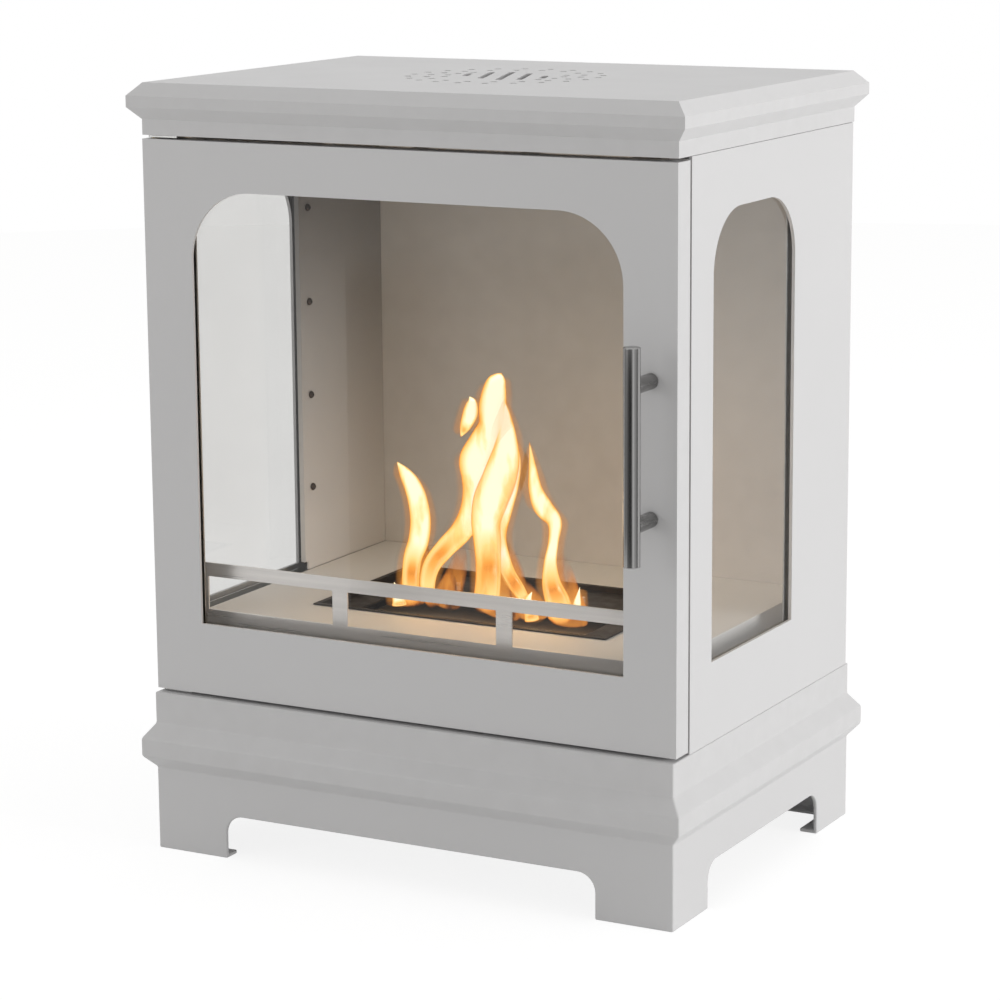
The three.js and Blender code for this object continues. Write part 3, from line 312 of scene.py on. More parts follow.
def handle_card(radius, shades, margin):
    """A part of a cylinder round the handle: point = handle + radius (sin a, -cos a), where a is the
    angle from the door's face towards the right. shades are rows of angle and cover. Its heights are
    the bar's, less radius x the slope of the view, with a margin over which the cover fades. Its left
    arm ends higher, so that the low guard behind the door doesn't mirror it."""
    angles, covers = np.array(shades, float).T
    low, high = np.array(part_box("handle_bar"))
    drop = -radius * VIEW_DIRECTION[2] / np.hypot(*VIEW_DIRECTION[:2])
    turn, height = np.meshgrid(np.linspace(angles[0], angles[-1], CARD_COLUMNS),
                               np.linspace(low[2] - drop - margin, high[2] - drop + margin, CARD_ROWS))
    lift = np.interp(turn, ARM_ANGLES, ARM_LIFT)
    inside = np.minimum(height - height.min() - lift, height.max() - height)
    cover = np.interp(turn, angles, covers) * np.clip(inside / CARD_FADE, 0, 1)
    middle = (low + high) / 2
    points = np.stack((middle[0] + radius * np.sin(np.radians(turn)),
                       middle[1] - radius * np.cos(np.radians(turn)), height), axis=-1)
    card = new_piece("handle_card", points.reshape(-1, 3), grid_faces(CARD_ROWS, CARD_COLUMNS),
                     closed=False)
    card.data.attributes.new("cover", "FLOAT", "POINT").data.foreach_set("value", cover.ravel())
    card.data.materials.append(card_material("card_black"))
    card.visible_camera = card.visible_diffuse = card.visible_shadow = False
    card.visible_transmission = card.visible_volume_scatter = False


handle_card(CARD_RADIUS, CARD_SHADES, CARD_MARGIN)
print("card's distance from the handle in metres:", CARD_RADIUS)

# %% [markdown]
# ## Finishes
#
# The case is sprayed with one smooth satin paint. Such paint is never quite even: it has a fine
# orange-peel skin, its gloss wanders a little, and it wears slightly darker along the folds, where
# hands and cloths rub it. The folds are marked by an attribute on the mesh, which is worked out
# further down, so the wear follows the real edges.

# %% Texture helpers
def spanned(tree, source, before, after, output=0, curve="LINEAR"):
    """Turns the span of values before into the span after: straight, or easing in and out."""
    span = node(tree, "ShaderNodeMapRange", From_Min=before[0], From_Max=before[1], To_Min=after[0],
                To_Max=after[1], interpolation_type=curve)
    link(tree, source, span, output, "Value")
    return span


def noise(tree, scale, detail=3.0, stretch=(1, 1, 1)):
    """Noise on object coordinates, stretched along the axes."""
    place = node(tree, "ShaderNodeTexCoord")
    mapping = node(tree, "ShaderNodeMapping", Scale=stretch)
    texture = node(tree, "ShaderNodeTexNoise", Scale=scale, Detail=detail)
    link(tree, place, mapping, "Object", 0)
    link(tree, mapping, texture, 0, "Vector")
    return texture


def ranged(tree, texture, low=0.0, high=1.0):
    """Turns 0.3..0.7 of a noise, between which nearly all of it lies, into a span of values."""
    return spanned(tree, texture, (0.3, 0.7), (low, high), "Fac")


def product(tree, first, second, output=0, clamp=False):
    """An output of the first node times the second node's, kept within 0 and 1 if asked."""
    times = node(tree, "ShaderNodeMath", operation="MULTIPLY", use_clamp=clamp)
    link(tree, first, times, output, 0)
    link(tree, second, times, 0, 1)
    return times


def tinted(tree, amount, first, second):
    """Mixes a second colour by an amount into the first, which is a colour or a mix like this."""
    mix = node(tree, "ShaderNodeMix", data_type="RGBA")
    if isinstance(first, tuple):
        mix.inputs["A"].default_value = (*first, 1)
    else:
        link(tree, first, mix, "Result", "A")
    mix.inputs["B"].default_value = (*second, 1)
    link(tree, amount, mix, 0, "Factor")
    return mix


def relief(tree, texture, strength, depth):
    """A bump from a noise, with its depth in metres."""
    bump = node(tree, "ShaderNodeBump", Strength=strength, Distance=depth)
    link(tree, texture, bump, "Fac", "Height")
    return bump


def shell(name, **sockets):
    """A material with one Principled shader, whose plain sockets are set by name."""
    material = bpy.data.materials.new(name)
    tree = new_tree(material)
    shader = node(tree, "ShaderNodeBsdfPrincipled")
    for key, value in sockets.items():
        shader.inputs[key.replace("_", " ")].default_value = value
    output = node(tree, "ShaderNodeOutputMaterial")
    link(tree, shader, output, 0, 0)
    return material, tree, shader


# %% Paint
# Painted shade: between these heights the firebox paint darkens towards a nearly black brown. It stands
# in for the shade under the roof.
TOP_SHADE_FROM, TOP_SHADE_TO = 0.22, 0.52
TOP_SHADE_COLOUR = (0.03, 0.025, 0.022)
CLOUD_SHADE = 0.985
PEEL_DEPTH = 0.12 * MM


def satin_paint(name, colour, worn, roughness=(0.42, 0.47), top_shade=0.0, peel_strength=0.12):
    """Sprayed paint: two close shades by soft noise, wandering gloss, orange peel, rubbed folds. The
    share after the roughness is painted shade, which darkens the paint towards the top of the firebox."""
    material, tree, shader = shell(name, Metallic=0.0, IOR=1.45)
    shade = tuple(channel * CLOUD_SHADE for channel in colour)
    clouded = tinted(tree, ranged(tree, noise(tree, scale=5.0, detail=4.0)), colour, shade)
    fold = node(tree, "ShaderNodeAttribute", attribute_name="fold")
    rub = product(tree, fold, ranged(tree, noise(tree, scale=60.0, detail=5.0)), "Fac")
    rubbed = tinted(tree, rub, clouded, worn)
    split = node(tree, "ShaderNodeSeparateXYZ")
    link(tree, node(tree, "ShaderNodeTexCoord"), split, "Object", 0)
    rise = spanned(tree, split, (TOP_SHADE_FROM, TOP_SHADE_TO), (0.0, top_shade), "Z")
    link(tree, tinted(tree, rise, rubbed, TOP_SHADE_COLOUR), shader, "Result", "Base Color")
    link(tree, ranged(tree, noise(tree, scale=22.0), *roughness), shader, 0, "Roughness")
    peel = relief(tree, noise(tree, scale=520.0, detail=2.0), peel_strength, PEEL_DEPTH)
    link(tree, peel, shader, 0, "Normal")
    return material


CASE_GREY, CASE_WORN = (0.660, 0.655, 0.657), (0.50, 0.495, 0.49)
FIREBOX_GREY, FIREBOX_WORN = (0.75, 0.745, 0.745), (0.45, 0.44, 0.43)
# A lighter copy of the firebox paint for the hearth plate and the vent baffle. Its extra lightness is
# painted light, for the light that falls on the hearth and shows through the cap's slots.
LIT_COPY_GREY, LIT_COPY_WORN = (0.93, 0.925, 0.92), (0.6, 0.59, 0.58)
BAKED = (0.45, 0.55)
FINE_PEEL = 0.05
case_paint = satin_paint("case_paint", CASE_GREY, CASE_WORN)
# The firebox paint gets a little painted shade towards the top, and the left cheek's copy of it gets a
# lot.
firebox_paint = satin_paint("firebox_paint", FIREBOX_GREY, FIREBOX_WORN, BAKED, 0.2, FINE_PEEL)
lit_copy_paint = satin_paint("lit_copy_paint", LIT_COPY_GREY, LIT_COPY_WORN, BAKED, 0.0, FINE_PEEL)
cheek_paint = satin_paint("cheek_paint", FIREBOX_GREY, FIREBOX_WORN, BAKED, 0.9, FINE_PEEL)
print("paints:", [material.name for material in bpy.data.materials if "paint" in material.name])

# %% [markdown]
# The guard and the handle are brushed stainless steel. The brushing could come from a picture, but
# noise drawn out along the strokes needs no unwrapped mesh, and it drives colour, gloss and height
# together. Heat has mottled the black steel, and zinc plate shows small crystals.

# %% Metals
STROKE_SHADE = 0.86


def brushed_steel(name, colour, stretch, roughness, metallic=1.0):
    """Brushed stainless steel: noise drawn out along the brushing, in colour, gloss and height."""
    material, tree, shader = shell(name, Metallic=metallic)
    strokes = noise(tree, scale=260.0, detail=4.0, stretch=stretch)
    darker = tuple(channel * STROKE_SHADE for channel in colour)
    link(tree, tinted(tree, ranged(tree, strokes), darker, colour), shader, "Result", "Base Color")
    link(tree, ranged(tree, strokes, *roughness), shader, 0, "Roughness")
    link(tree, relief(tree, strokes, strength=0.18, depth=0.08 * MM), shader, 0, "Normal")
    return material


def dark_steel(name, first, second, roughness, metallic=0.6):
    """Blackened sheet that heat has mottled from one shade towards the other."""
    material, tree, shader = shell(name, Metallic=metallic)
    mottle = ranged(tree, noise(tree, scale=38.0, detail=6.0))
    link(tree, tinted(tree, mottle, first, second), shader, "Result", "Base Color")
    link(tree, ranged(tree, noise(tree, scale=90.0, detail=4.0), *roughness), shader, 0, "Roughness")
    grain = relief(tree, noise(tree, scale=700.0), strength=0.2, depth=0.1 * MM)
    link(tree, grain, shader, 0, "Normal")
    return material


def zinc_plate(name, first, second):
    """Zinc-plated steel: small crystal patches of two greys, with uneven gloss."""
    material, tree, shader = shell(name, Metallic=1.0)
    crystals = node(tree, "ShaderNodeTexVoronoi", Scale=240.0)
    link(tree, node(tree, "ShaderNodeTexCoord"), crystals, "Object", "Vector")
    grey = node(tree, "ShaderNodeSeparateColor")
    link(tree, crystals, grey, "Color", 0)
    link(tree, tinted(tree, grey, first, second), shader, "Result", "Base Color")
    link(tree, ranged(tree, noise(tree, scale=120.0), 0.28, 0.46), shader, 0, "Roughness")
    grain = relief(tree, noise(tree, scale=400.0, detail=2.0), strength=0.1, depth=0.06 * MM)
    link(tree, grain, shader, 0, "Normal")
    return material


guard_steel = brushed_steel("guard_steel", (0.95, 0.92, 0.90), (0.03, 1, 1), (0.26, 0.36), 0.55)
handle_steel = brushed_steel("handle_steel", (0.36, 0.355, 0.35), (1, 1, 0.03), (0.14, 0.24))
post_steel = brushed_steel("post_steel", (0.32, 0.315, 0.31), (1, 0.05, 1), (0.2, 0.3))
burner_black = dark_steel("burner_black", (0.030, 0.026, 0.024), (0.055, 0.045, 0.038), (0.42, 0.62))
# Near-black for the left glass clamp. It is partly the clamp's own blackened finish and partly painted
# shade for the dark gap behind the left window's jamb.
clamp_black_and_shade = dark_steel("clamp_black_and_shade", (0.020, 0.019, 0.019), (0.035, 0.032, 0.030), (0.5, 0.65), 0.3)
screw_dark = dark_steel("screw_dark", (0.050, 0.035, 0.027), (0.085, 0.060, 0.045), (0.3, 0.45), 0.8)
zinc_steel = zinc_plate("zinc_steel", (0.49, 0.49, 0.48), (0.58, 0.58, 0.57))
bush_brass = brushed_steel("bush_brass", (0.70, 0.52, 0.24), (1, 1, 0.05), (0.25, 0.4))
print("finishes so far:", len(bpy.data.materials))

# %% [markdown]
# The panes are thin heat-proof glass. A refracting shader is right for thick glass, but it darkens
# what stands behind several panes, so a clear shader with a Fresnel gloss takes its place.

# %% Glass, felt and rubber
CLEAN_GLASS, FILMED_GLASS = (0.925, 0.924, 0.92), (0.905, 0.904, 0.90)
RUBBER, BLOOM = (0.018, 0.018, 0.018), (0.035, 0.034, 0.033)
FELT, SCORCHED = (0.80, 0.76, 0.68), (0.52, 0.46, 0.38)


def one_less(tree, source, output=0):
    """1 less an output of a node."""
    rest = node(tree, "ShaderNodeMath", operation="SUBTRACT")
    rest.inputs[0].default_value = 1.0
    link(tree, source, rest, output, 1)
    return rest


def clear_pane(name):
    """Thin heat-proof glass: a see-through shader with a faint grey tint, and on its outer side a
    gloss by Fresnel."""
    material = bpy.data.materials.new(name)
    tree = new_tree(material)
    edge = node(tree, "ShaderNodeFresnel", IOR=1.42)
    outer = one_less(tree, node(tree, "ShaderNodeNewGeometry"), "Backfacing")
    through = node(tree, "ShaderNodeBsdfTransparent")
    film = ranged(tree, noise(tree, scale=9.0))
    link(tree, tinted(tree, film, CLEAN_GLASS, FILMED_GLASS), through, "Result", "Color")
    mirror = node(tree, "ShaderNodeBsdfGlossy", Color=(0.9, 0.9, 0.9, 1), Roughness=0.02)
    blended(tree, product(tree, edge, outer), through, mirror)
    return material


def felted_wool(name):
    """Ceramic fibre felt: matt, with a tangle of fine relief and scorched patches."""
    material, tree, shader = shell(name, Metallic=0.0)
    scorch = ranged(tree, noise(tree, scale=30.0, detail=5.0))
    link(tree, tinted(tree, scorch, FELT, SCORCHED), shader, "Result", "Base Color")
    link(tree, ranged(tree, noise(tree, scale=200.0, detail=4.0), 0.85, 1.0), shader, 0, "Roughness")
    tangle = relief(tree, noise(tree, scale=900.0, detail=8.0), strength=0.7, depth=0.6 * MM)
    link(tree, tangle, shader, 0, "Normal")
    return material


def soft_rubber(name):
    """Black rubber: nearly black, dull, with fine grain."""
    material, tree, shader = shell(name, Metallic=0.0)
    bloom = ranged(tree, noise(tree, scale=80.0, detail=4.0))
    link(tree, tinted(tree, bloom, RUBBER, BLOOM), shader, "Result", "Base Color")
    link(tree, ranged(tree, noise(tree, scale=150.0), 0.6, 0.8), shader, 0, "Roughness")
    grain = relief(tree, noise(tree, scale=1200.0, detail=2.0), strength=0.2, depth=0.1 * MM)
    link(tree, grain, shader, 0, "Normal")
    return material


pane_glass = clear_pane("pane_glass")
wick_wool = felted_wool("wick_wool")
seal_rubber = soft_rubber("seal_rubber")
print("finishes:", len(bpy.data.materials))

# %% [markdown]
# ## Folded sheet metal
#
# Nearly every part is a folded or laser-cut sheet. A CAD solid of it has knife edges, which catch no
# light and look like cardboard. On the real part a fold has a radius and a cut edge is deburred and
# then thickened by paint. So each sheet is a merged copy of its CAD solid, whose flat triangles are
# joined into whole faces, and whose edges are then rounded with a bevel of the right radius.

# %% Mark the folds
BROAD_FACE = 4e-6
FOLD_GAIN = 9


def fold_attribute(mesh):
    """Marks the rounded edges. Where the faces round a vertex all face the same way, the mean of
    their normals has length 1, and on a fold it is shorter: fold = (1 - length) x gain. A vertex of
    a broad flat face (many corners, in square metres) gets none, so that the wear doesn't spread
    over that face."""
    count, points = len(mesh.polygons), len(mesh.vertices)
    normals, areas = np.empty(count * 3), np.empty(count)
    mesh.polygons.foreach_get("normal", normals)
    mesh.polygons.foreach_get("area", areas)
    totals = np.empty(count, int)
    mesh.polygons.foreach_get("loop_total", totals)
    corners = np.empty(len(mesh.loops), int)
    mesh.loops.foreach_get("vertex_index", corners)
    sums, broad = np.zeros((points, 3)), np.zeros(points)
    np.add.at(sums, corners, np.repeat(normals.reshape(-1, 3), totals, axis=0))
    np.maximum.at(broad, corners, np.repeat(areas * (totals > 4), totals))
    around = np.maximum(np.bincount(corners, minlength=points), 1)
    fold = np.clip((1 - np.linalg.norm(sums / around[:, None], axis=1)) * FOLD_GAIN, 0, 1)
    fold[broad > BROAD_FACE] = 0
    mesh.attributes.new("fold", "FLOAT", "POINT").data.foreach_set("value", fold)


def finish_piece(piece, body, material, smooth=40):
    """Gives a made piece its material and body, and smooths all but its sharp edges."""
    piece.data.materials.clear()
    piece.data.materials.append(material)
    if smooth is not None:
        piece.data.shade_smooth()
        piece.data.set_sharp_from_angle(angle=math.radians(smooth))
    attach(piece, body)
    return piece


# %% Round the edges of a sheet
WELD = 0.002 * MM
FLAT_WITHIN = math.radians(0.6)
FOLD_OVER = math.radians(24)
BROAD_WEIGHT = 100
bodies = frame["record"]["behaviour"]["bodies"]
body_of = {name: body for body, names in bodies.items() for name in names}


def rolled_sheet(name, material, radius, segments=3):
    """A copy of a CAD sheet with its flat faces joined and its edges rounded to a radius. The normals
    are weighted by area, so that a flat face stays flat up to its rounded edge."""
    work = bmesh.new()
    work.from_mesh(frame["nodes"][name].data)
    bmesh.ops.remove_doubles(work, verts=work.verts, dist=WELD)
    bmesh.ops.dissolve_limit(work, angle_limit=FLAT_WITHIN, verts=work.verts, edges=work.edges)
    mesh = bpy.data.meshes.new(name + "_sheet")
    work.to_mesh(mesh)
    work.free()
    mesh.shade_smooth()
    piece = bpy.data.objects.new(name + "_sheet", mesh)
    bpy.context.scene.collection.objects.link(piece)
    bevel = piece.modifiers.new("edges", "BEVEL")
    bevel.width = radius
    bevel.segments = segments
    bevel.limit_method = "ANGLE"
    bevel.angle_limit = FOLD_OVER
    bevel.use_clamp_overlap = True
    flat = piece.modifiers.new("flat_faces", "WEIGHTED_NORMAL")
    flat.weight = BROAD_WEIGHT
    bpy.context.view_layer.update()
    graph = bpy.context.evaluated_depsgraph_get()
    rounded = bpy.data.meshes.new_from_object(piece.evaluated_get(graph))
    piece.modifiers.clear()
    piece.data = rounded
    fold_attribute(rounded)
    finish_piece(piece, body_of[name], material, None)
    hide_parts(name)
    return piece


# %% Make the sheets
FOLD = 1.1 * MM
CUT_EDGE = 0.35 * MM
case_sheets = {"plinth_shell": FOLD, "left_side_panel": 0.9 * MM, "right_side_panel": 0.9 * MM,
               "door_frame": 0.8 * MM, "cap_shell": FOLD, "back_panel": CUT_EDGE}
firebox_sheets = ["case_bottom_panel", "case_top_panel", "firebox_rear_wall", "firebox_left_cheek",
                  "firebox_right_cheek", "firebox_roof", "hearth_plate", "vent_baffle"]
zinc_sheets = ["left_glass_holder", "right_glass_holder", "door_glass_holder", "hinge_plate_lower",
               "hinge_plate_upper", "catch_bracket", "catch_strike"]
for name, radius in case_sheets.items():
    rolled_sheet(name, case_paint, radius)
# The hearth plate and the vent baffle take the lighter copy of the firebox paint, whose extra lightness
# is painted light.
own_paint = {"firebox_left_cheek": cheek_paint, "hearth_plate": lit_copy_paint,
             "vent_baffle": lit_copy_paint}
for name in firebox_sheets:
    rolled_sheet(name, own_paint.get(name, firebox_paint), CUT_EDGE)
for name in zinc_sheets:
    rolled_sheet(name, zinc_steel, 0.25 * MM, 2)
rolled_sheet("front_guard", guard_steel, 0.3 * MM)
# The left glass clamp is near-black. This is partly its own finish and partly painted shade for the
# dark gap behind the window's jamb.
rolled_sheet("left_glass_clamp", clamp_black_and_shade, 0.4 * MM)
rolled_sheet("burner_tank", burner_black, 0.3 * MM)
rolled_sheet("burner_top_plate", burner_black, 0.35 * MM)
for name in ("door_glass", "left_side_glass", "right_side_glass"):
    rolled_sheet(name, pane_glass, 0.5 * MM)
rolled_sheet("catch_magnet", seal_rubber, 0.6 * MM)
rolled_sheet("door_gasket", seal_rubber, 0.5 * MM)
print("sheets made:", sum(part.hide_render for part in frame["nodes"].values()))

# %% [markdown]
# ## Turned parts
#
# The handle's bar and posts, the hinge pins, the bushes and the screws are round. Each is a profile
# of radius against distance, carried round an axis: the point at distance d and angle a is the
# centre line at d plus radius(d) times the unit circle at a.

# %% A turned surface
def turned(name, profile, start, axis, body, material, around):
    """profile is rows of (radius, distance along the axis), and its first and last radius are 0."""
    axis = np.asarray(axis, float)
    helper = np.array((0, 0, 1.0)) if abs(axis[2]) < 0.9 else np.array((1.0, 0, 0))
    across = np.cross(axis, helper)
    across /= np.linalg.norm(across)
    up = np.cross(axis, across)
    radius, along = np.asarray(profile, float)[1:-1].T
    angle = np.linspace(0, 2 * np.pi, around, endpoint=False)
    circle = np.cos(angle)[:, None] * across + np.sin(angle)[:, None] * up
    rings = np.asarray(start) + along[:, None, None] * axis + radius[:, None, None] * circle
    ends = np.asarray(start) + np.outer((profile[0][1], profile[-1][1]), axis)
    rows = len(along)
    pole = rows * around
    piece = new_piece(name, np.vstack((rings.reshape(-1, 3), ends)), ring_faces(rows, around),
                      fan_faces(around, 0, pole), fan_faces(around, pole - around, pole + 1))
    fold_attribute(piece.data)
    return finish_piece(piece, body, material)


# %% Handle bar
BAR_EASE = 0.7 * MM


def box_of(name):
    """The lowest and highest corner of a CAD part, as arrays."""
    low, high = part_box(name)
    return np.array(low), np.array(high)


bar_low, bar_high = box_of("handle_bar")
BAR_RADIUS = (bar_high[0] - bar_low[0]) / 2
BAR_LENGTH = bar_high[2] - bar_low[2]
bar_axis = ((bar_low[0] + bar_high[0]) / 2, (bar_low[1] + bar_high[1]) / 2, bar_low[2])


def bar_profile(radius, length, chamfer):
    """A cylinder whose end edges are eased by a quarter circle of the chamfer's size."""
    ease = np.linspace(0, np.pi / 2, 6)
    r = radius - chamfer + chamfer * np.sin(ease)
    d = chamfer - chamfer * np.cos(ease)
    lower = list(zip(r, d))
    upper = [(a, length - b) for a, b in reversed(lower)]
    return [(0, 0), *lower, *upper, (0, length)]


bar = turned("handle_bar_turned", bar_profile(BAR_RADIUS, BAR_LENGTH, BAR_EASE), bar_axis, (0, 0, 1),
             "door", handle_steel, 64)
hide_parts("handle_bar")
print("handle bar, radius and length in mm:", round(BAR_RADIUS / MM, 2), round(BAR_LENGTH / MM, 1))

# %% [markdown]
# Each post ends against the round bar. A boolean could cut that seat, but it leaves an untidy mesh,
# so the end is worked out point by point round the circle instead.

# %% Handle posts
POST_SIDES = 48
POST_EASE = 0.4 * MM
SEAT_ROOM = 0.2 * MM


def saddle_post(name):
    """A round post whose far end is cut to the bar: at angle a its surface stops where it meets the
    bar, sqrt(R^2 - x^2) behind the bar's axis, with x = r cos a, the post's radius r and the bar's
    radius R, to which a little room is added."""
    low, high = box_of(name)
    radius = (high[2] - low[2]) / 2
    middle_z = (high[2] + low[2]) / 2
    angle = np.linspace(0, 2 * np.pi, POST_SIDES, endpoint=False)
    x, z = np.cos(angle), np.sin(angle)
    foot = high[1]
    seat = bar_axis[1] + np.sqrt(np.maximum((BAR_RADIUS + SEAT_ROOM) ** 2 - (radius * x) ** 2, 0))
    eased = ((radius - POST_EASE, foot), (radius - 0.3 * POST_EASE, foot - 0.3 * POST_EASE),
             (radius, foot - POST_EASE), (radius, seat))
    rings = [np.stack((bar_axis[0] + r * x, y + 0 * x, middle_z + r * z), axis=-1) for r, y in eased]
    ends = np.arange(POST_SIDES) + POST_SIDES * np.array(((0,), (len(rings) - 1,)))
    piece = new_piece(name + "_turned", np.vstack(rings), ring_faces(len(rings), POST_SIDES), ends)
    fold_attribute(piece.data)
    finish_piece(piece, "door", post_steel)
    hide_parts(name)


for name in ("handle_post_lower", "handle_post_upper"):
    saddle_post(name)
print("points round each post:", POST_SIDES)

# %% [markdown]
# Pan-head screws and nuts hold the sheets together. Each is turned from one profile that is fitted
# to the box of its CAD part, so that no size is typed twice.

# %% Screws and nuts
HEAD_HEIGHT = 2.2 * MM
HEAD_LIP = 0.1 * MM
SHANK_MOST, SHANK_SHARE = 1.8 * MM, 0.62
RIM_SHARE, DOME_SHARE = 0.97, 0.98
SOCKET_SHARES, SOCKET_DEPTH = (0.42, 0.40), 1.2 * MM


def pan_screw(name, direction, material):
    """A pan-head screw with a round socket: a dome over the head, which rises with the sine of the
    angle while its radius falls with the cosine, and a straight shank."""
    low, high = box_of(name)
    middle = (low + high) / 2
    direction = np.asarray(direction, float)
    axis_index = int(np.argmax(np.abs(direction)))
    length = (high - low)[axis_index]
    head = (high - low)[(axis_index + 1) % 3] / 2
    start = middle - direction * length / 2
    shank = min(SHANK_MOST, head * SHANK_SHARE)
    neck, floor_at = length - HEAD_HEIGHT, length - SOCKET_DEPTH
    dome = np.linspace(0, np.pi / 2, 7)[:-1]
    top = zip(head * (DOME_SHARE * np.cos(dome) + 1 - DOME_SHARE), neck + HEAD_HEIGHT * np.sin(dome))
    socket = ((head * SOCKET_SHARES[0], length), (head * SOCKET_SHARES[1], floor_at), (0, floor_at))
    profile = [(0, 0), (shank, 0), (shank, neck - HEAD_LIP), (head * RIM_SHARE, neck), *top, *socket]
    piece = turned(name + "_turned", profile, start, direction, body_of[name],
                   material, 24)
    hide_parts(name)
    return piece


screw_directions = {"left_cheek_screw": (1, 0, 0), "back_panel_screw": (0, 1, 0),
                    "front_guard_screw": (0, -1, 0), "door_holder_nut": (0, 1, 0),
                    "handle_screw": (0, 1, 0), "catch_screw": (0, -1, 0), "cap_screw": (0, 0, -1)}
screws = []
for name in sorted(frame["nodes"]):
    family = name.rstrip("0123456789").rstrip("_")
    if family in screw_directions:
        dark = family == "left_cheek_screw"
        screws.append(pan_screw(name, screw_directions[family], screw_dark if dark else zinc_steel))
print("screws and nuts:", len(screws))


# %% Hinge pins and bushes
PIN_EASE = 0.4 * MM


def hinge_pin(name):
    """A plain pin with eased ends."""
    low, high = box_of(name)
    radius = (high[0] - low[0]) / 2
    start = ((low[0] + high[0]) / 2, (low[1] + high[1]) / 2, low[2])
    piece = turned(name + "_turned", bar_profile(radius, high[2] - low[2], PIN_EASE), start, (0, 0, 1),
                   body_of[name], zinc_steel, 32)
    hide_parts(name)


for name in ("hinge_pin_lower", "hinge_pin_upper"):
    hinge_pin(name)
for name in ("hinge_bush_lower", "hinge_bush_upper"):
    rolled_sheet(name, bush_brass, 0.15 * MM, 2)

# %% [markdown]
# ## The burner
#
# A fibre pad soaks up the fuel, a slotted plate lies over it, and a shutter with two pegs slides
# over the slot to put the flames out. The pad's felt is not flat: its height is the product of two
# waves plus seeded noise, worked out on a grid.

# %% Wick pad
FELT_ROWS, FELT_COLUMNS = 60, 100
FELT_SEED = 7
FELT_DEPTH = 0.45 * MM
WAVES_X, WAVES_Y = 190, 230
FLUFF_SHARE = 0.6


def wick_pad():
    """A felt block: the top is height(x, y) = top - depth x |waves + noise| / the largest of these,
    with waves = sin(190 x) cos(230 y), and the sides are straight."""
    low, high = box_of("burner_wick_pad")
    rows, columns = FELT_ROWS, FELT_COLUMNS
    x, y = np.meshgrid(np.linspace(low[0], high[0], columns), np.linspace(low[1], high[1], rows))
    seeded = np.random.default_rng(FELT_SEED).normal(0, 1, (rows, columns))
    wave = np.sin(x * WAVES_X) * np.cos(y * WAVES_Y) + FLUFF_SHARE * seeded
    top = high[2] - FELT_DEPTH * np.abs(wave) / np.abs(wave).max()
    upper = np.stack((x, y, top), axis=-1)
    lower = np.stack((x, y, np.full_like(x, low[2])), axis=-1)
    count = rows * columns
    sheet = grid_faces(rows, columns)
    rim = np.concatenate((np.arange(columns), np.arange(1, rows) * columns + columns - 1,
                          (rows - 1) * columns + np.arange(columns - 2, -1, -1),
                          np.arange(rows - 2, 0, -1) * columns))
    after = np.roll(rim, -1)
    wall = np.stack((rim, rim + count, after + count, after), axis=-1)
    piece = new_piece("wick_felt", np.vstack((upper.reshape(-1, 3), lower.reshape(-1, 3))),
                      sheet, sheet[:, ::-1] + count, wall)
    finish_piece(piece, "fireplace", wick_wool, 60)
    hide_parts("burner_wick_pad")
    return piece


print("points on the felt:", len(wick_pad().data.vertices))

# %% Shutter
PEG_FROM = 1.5 * MM
shutter = rolled_sheet("burner_shutter", burner_black, 0.25 * MM, 2)


def bright_above(piece, height, material):
    """Gives the faces above a height another finish: here the two steel pegs of the shutter."""
    mesh = piece.data
    mesh.materials.append(material)
    centres = np.empty(len(mesh.polygons) * 3)
    mesh.polygons.foreach_get("center", centres)
    above = (centres.reshape(-1, 3)[:, 2] > height).astype(int)
    mesh.polygons.foreach_set("material_index", above)


bright_above(shutter, box_of("burner_shutter")[0][2] + PEG_FROM, guard_steel)
print("burner: wick pad, tank, top plate and shutter with bright pegs")

# %% [markdown]
# ## The flames
#
# Alcohol burns with tall, thin, curling tongues. Each tongue is a closed body with a flat oval
# section: a centre line and a half-width are given at a few heights and carried smoothly between
# them, and the section follows the centre line. Its skin is nearly clear where it is seen edge-on,
# as burning gas is, and bright where the eye looks through its whole depth. A volume would be truer,
# but it renders slowly and with grain.

# %% Curves through points
def smooth_through(values, count):
    """Catmull-Rom through the rows of values: each span is a cubic that leaves a point in the
    direction of the line between its two neighbours."""
    values = np.asarray(values, float)
    padded = np.vstack((2 * values[0] - values[1], values, 2 * values[-1] - values[-2]))
    at = np.linspace(0, len(values) - 1 - 1e-9, count)  # ends just inside the last span
    span = at.astype(int)
    t = (at - span)[:, None]
    p0, p1, p2, p3 = (padded[span + shift] for shift in range(4))
    return 0.5 * (2 * p1 + (p2 - p0) * t + (2 * p0 - 5 * p1 + 4 * p2 - p3) * t**2
                  + (3 * p1 - p0 - 3 * p2 + p3) * t**3)


# %% Flame material
HOLLOW_MOST, HOLLOW_TO, LIFT_TO = 0.19, 0.38, 0.09
HOLLOW_AT_FOOT = 0.1
HOLLOW_WIDTH = (0.08, 0.5)
HOTTEST_FACING = 0.05
STREAK_SIZE, STREAK_STRETCH, STREAK_SPAN = 58.0, (1.5, 1, 0.4), (0.34, 0.52)
STREAK_MOST = 1.15


def colour_ramp(tree, source, stops, output=0):
    """Picks a colour by a value from stops, which are rows of a place and a colour."""
    ramp = node(tree, "ShaderNodeValToRGB")
    ends = ramp.color_ramp.elements
    ends[0].position, ends[0].color = stops[0][0], (*stops[0][1], 1)
    ends[1].position, ends[1].color = stops[-1][0], (*stops[-1][1], 1)
    for position, colour in stops[1:-1]:
        ends.new(position).color = (*colour, 1)
    link(tree, source, ramp, output, 0)
    return ramp


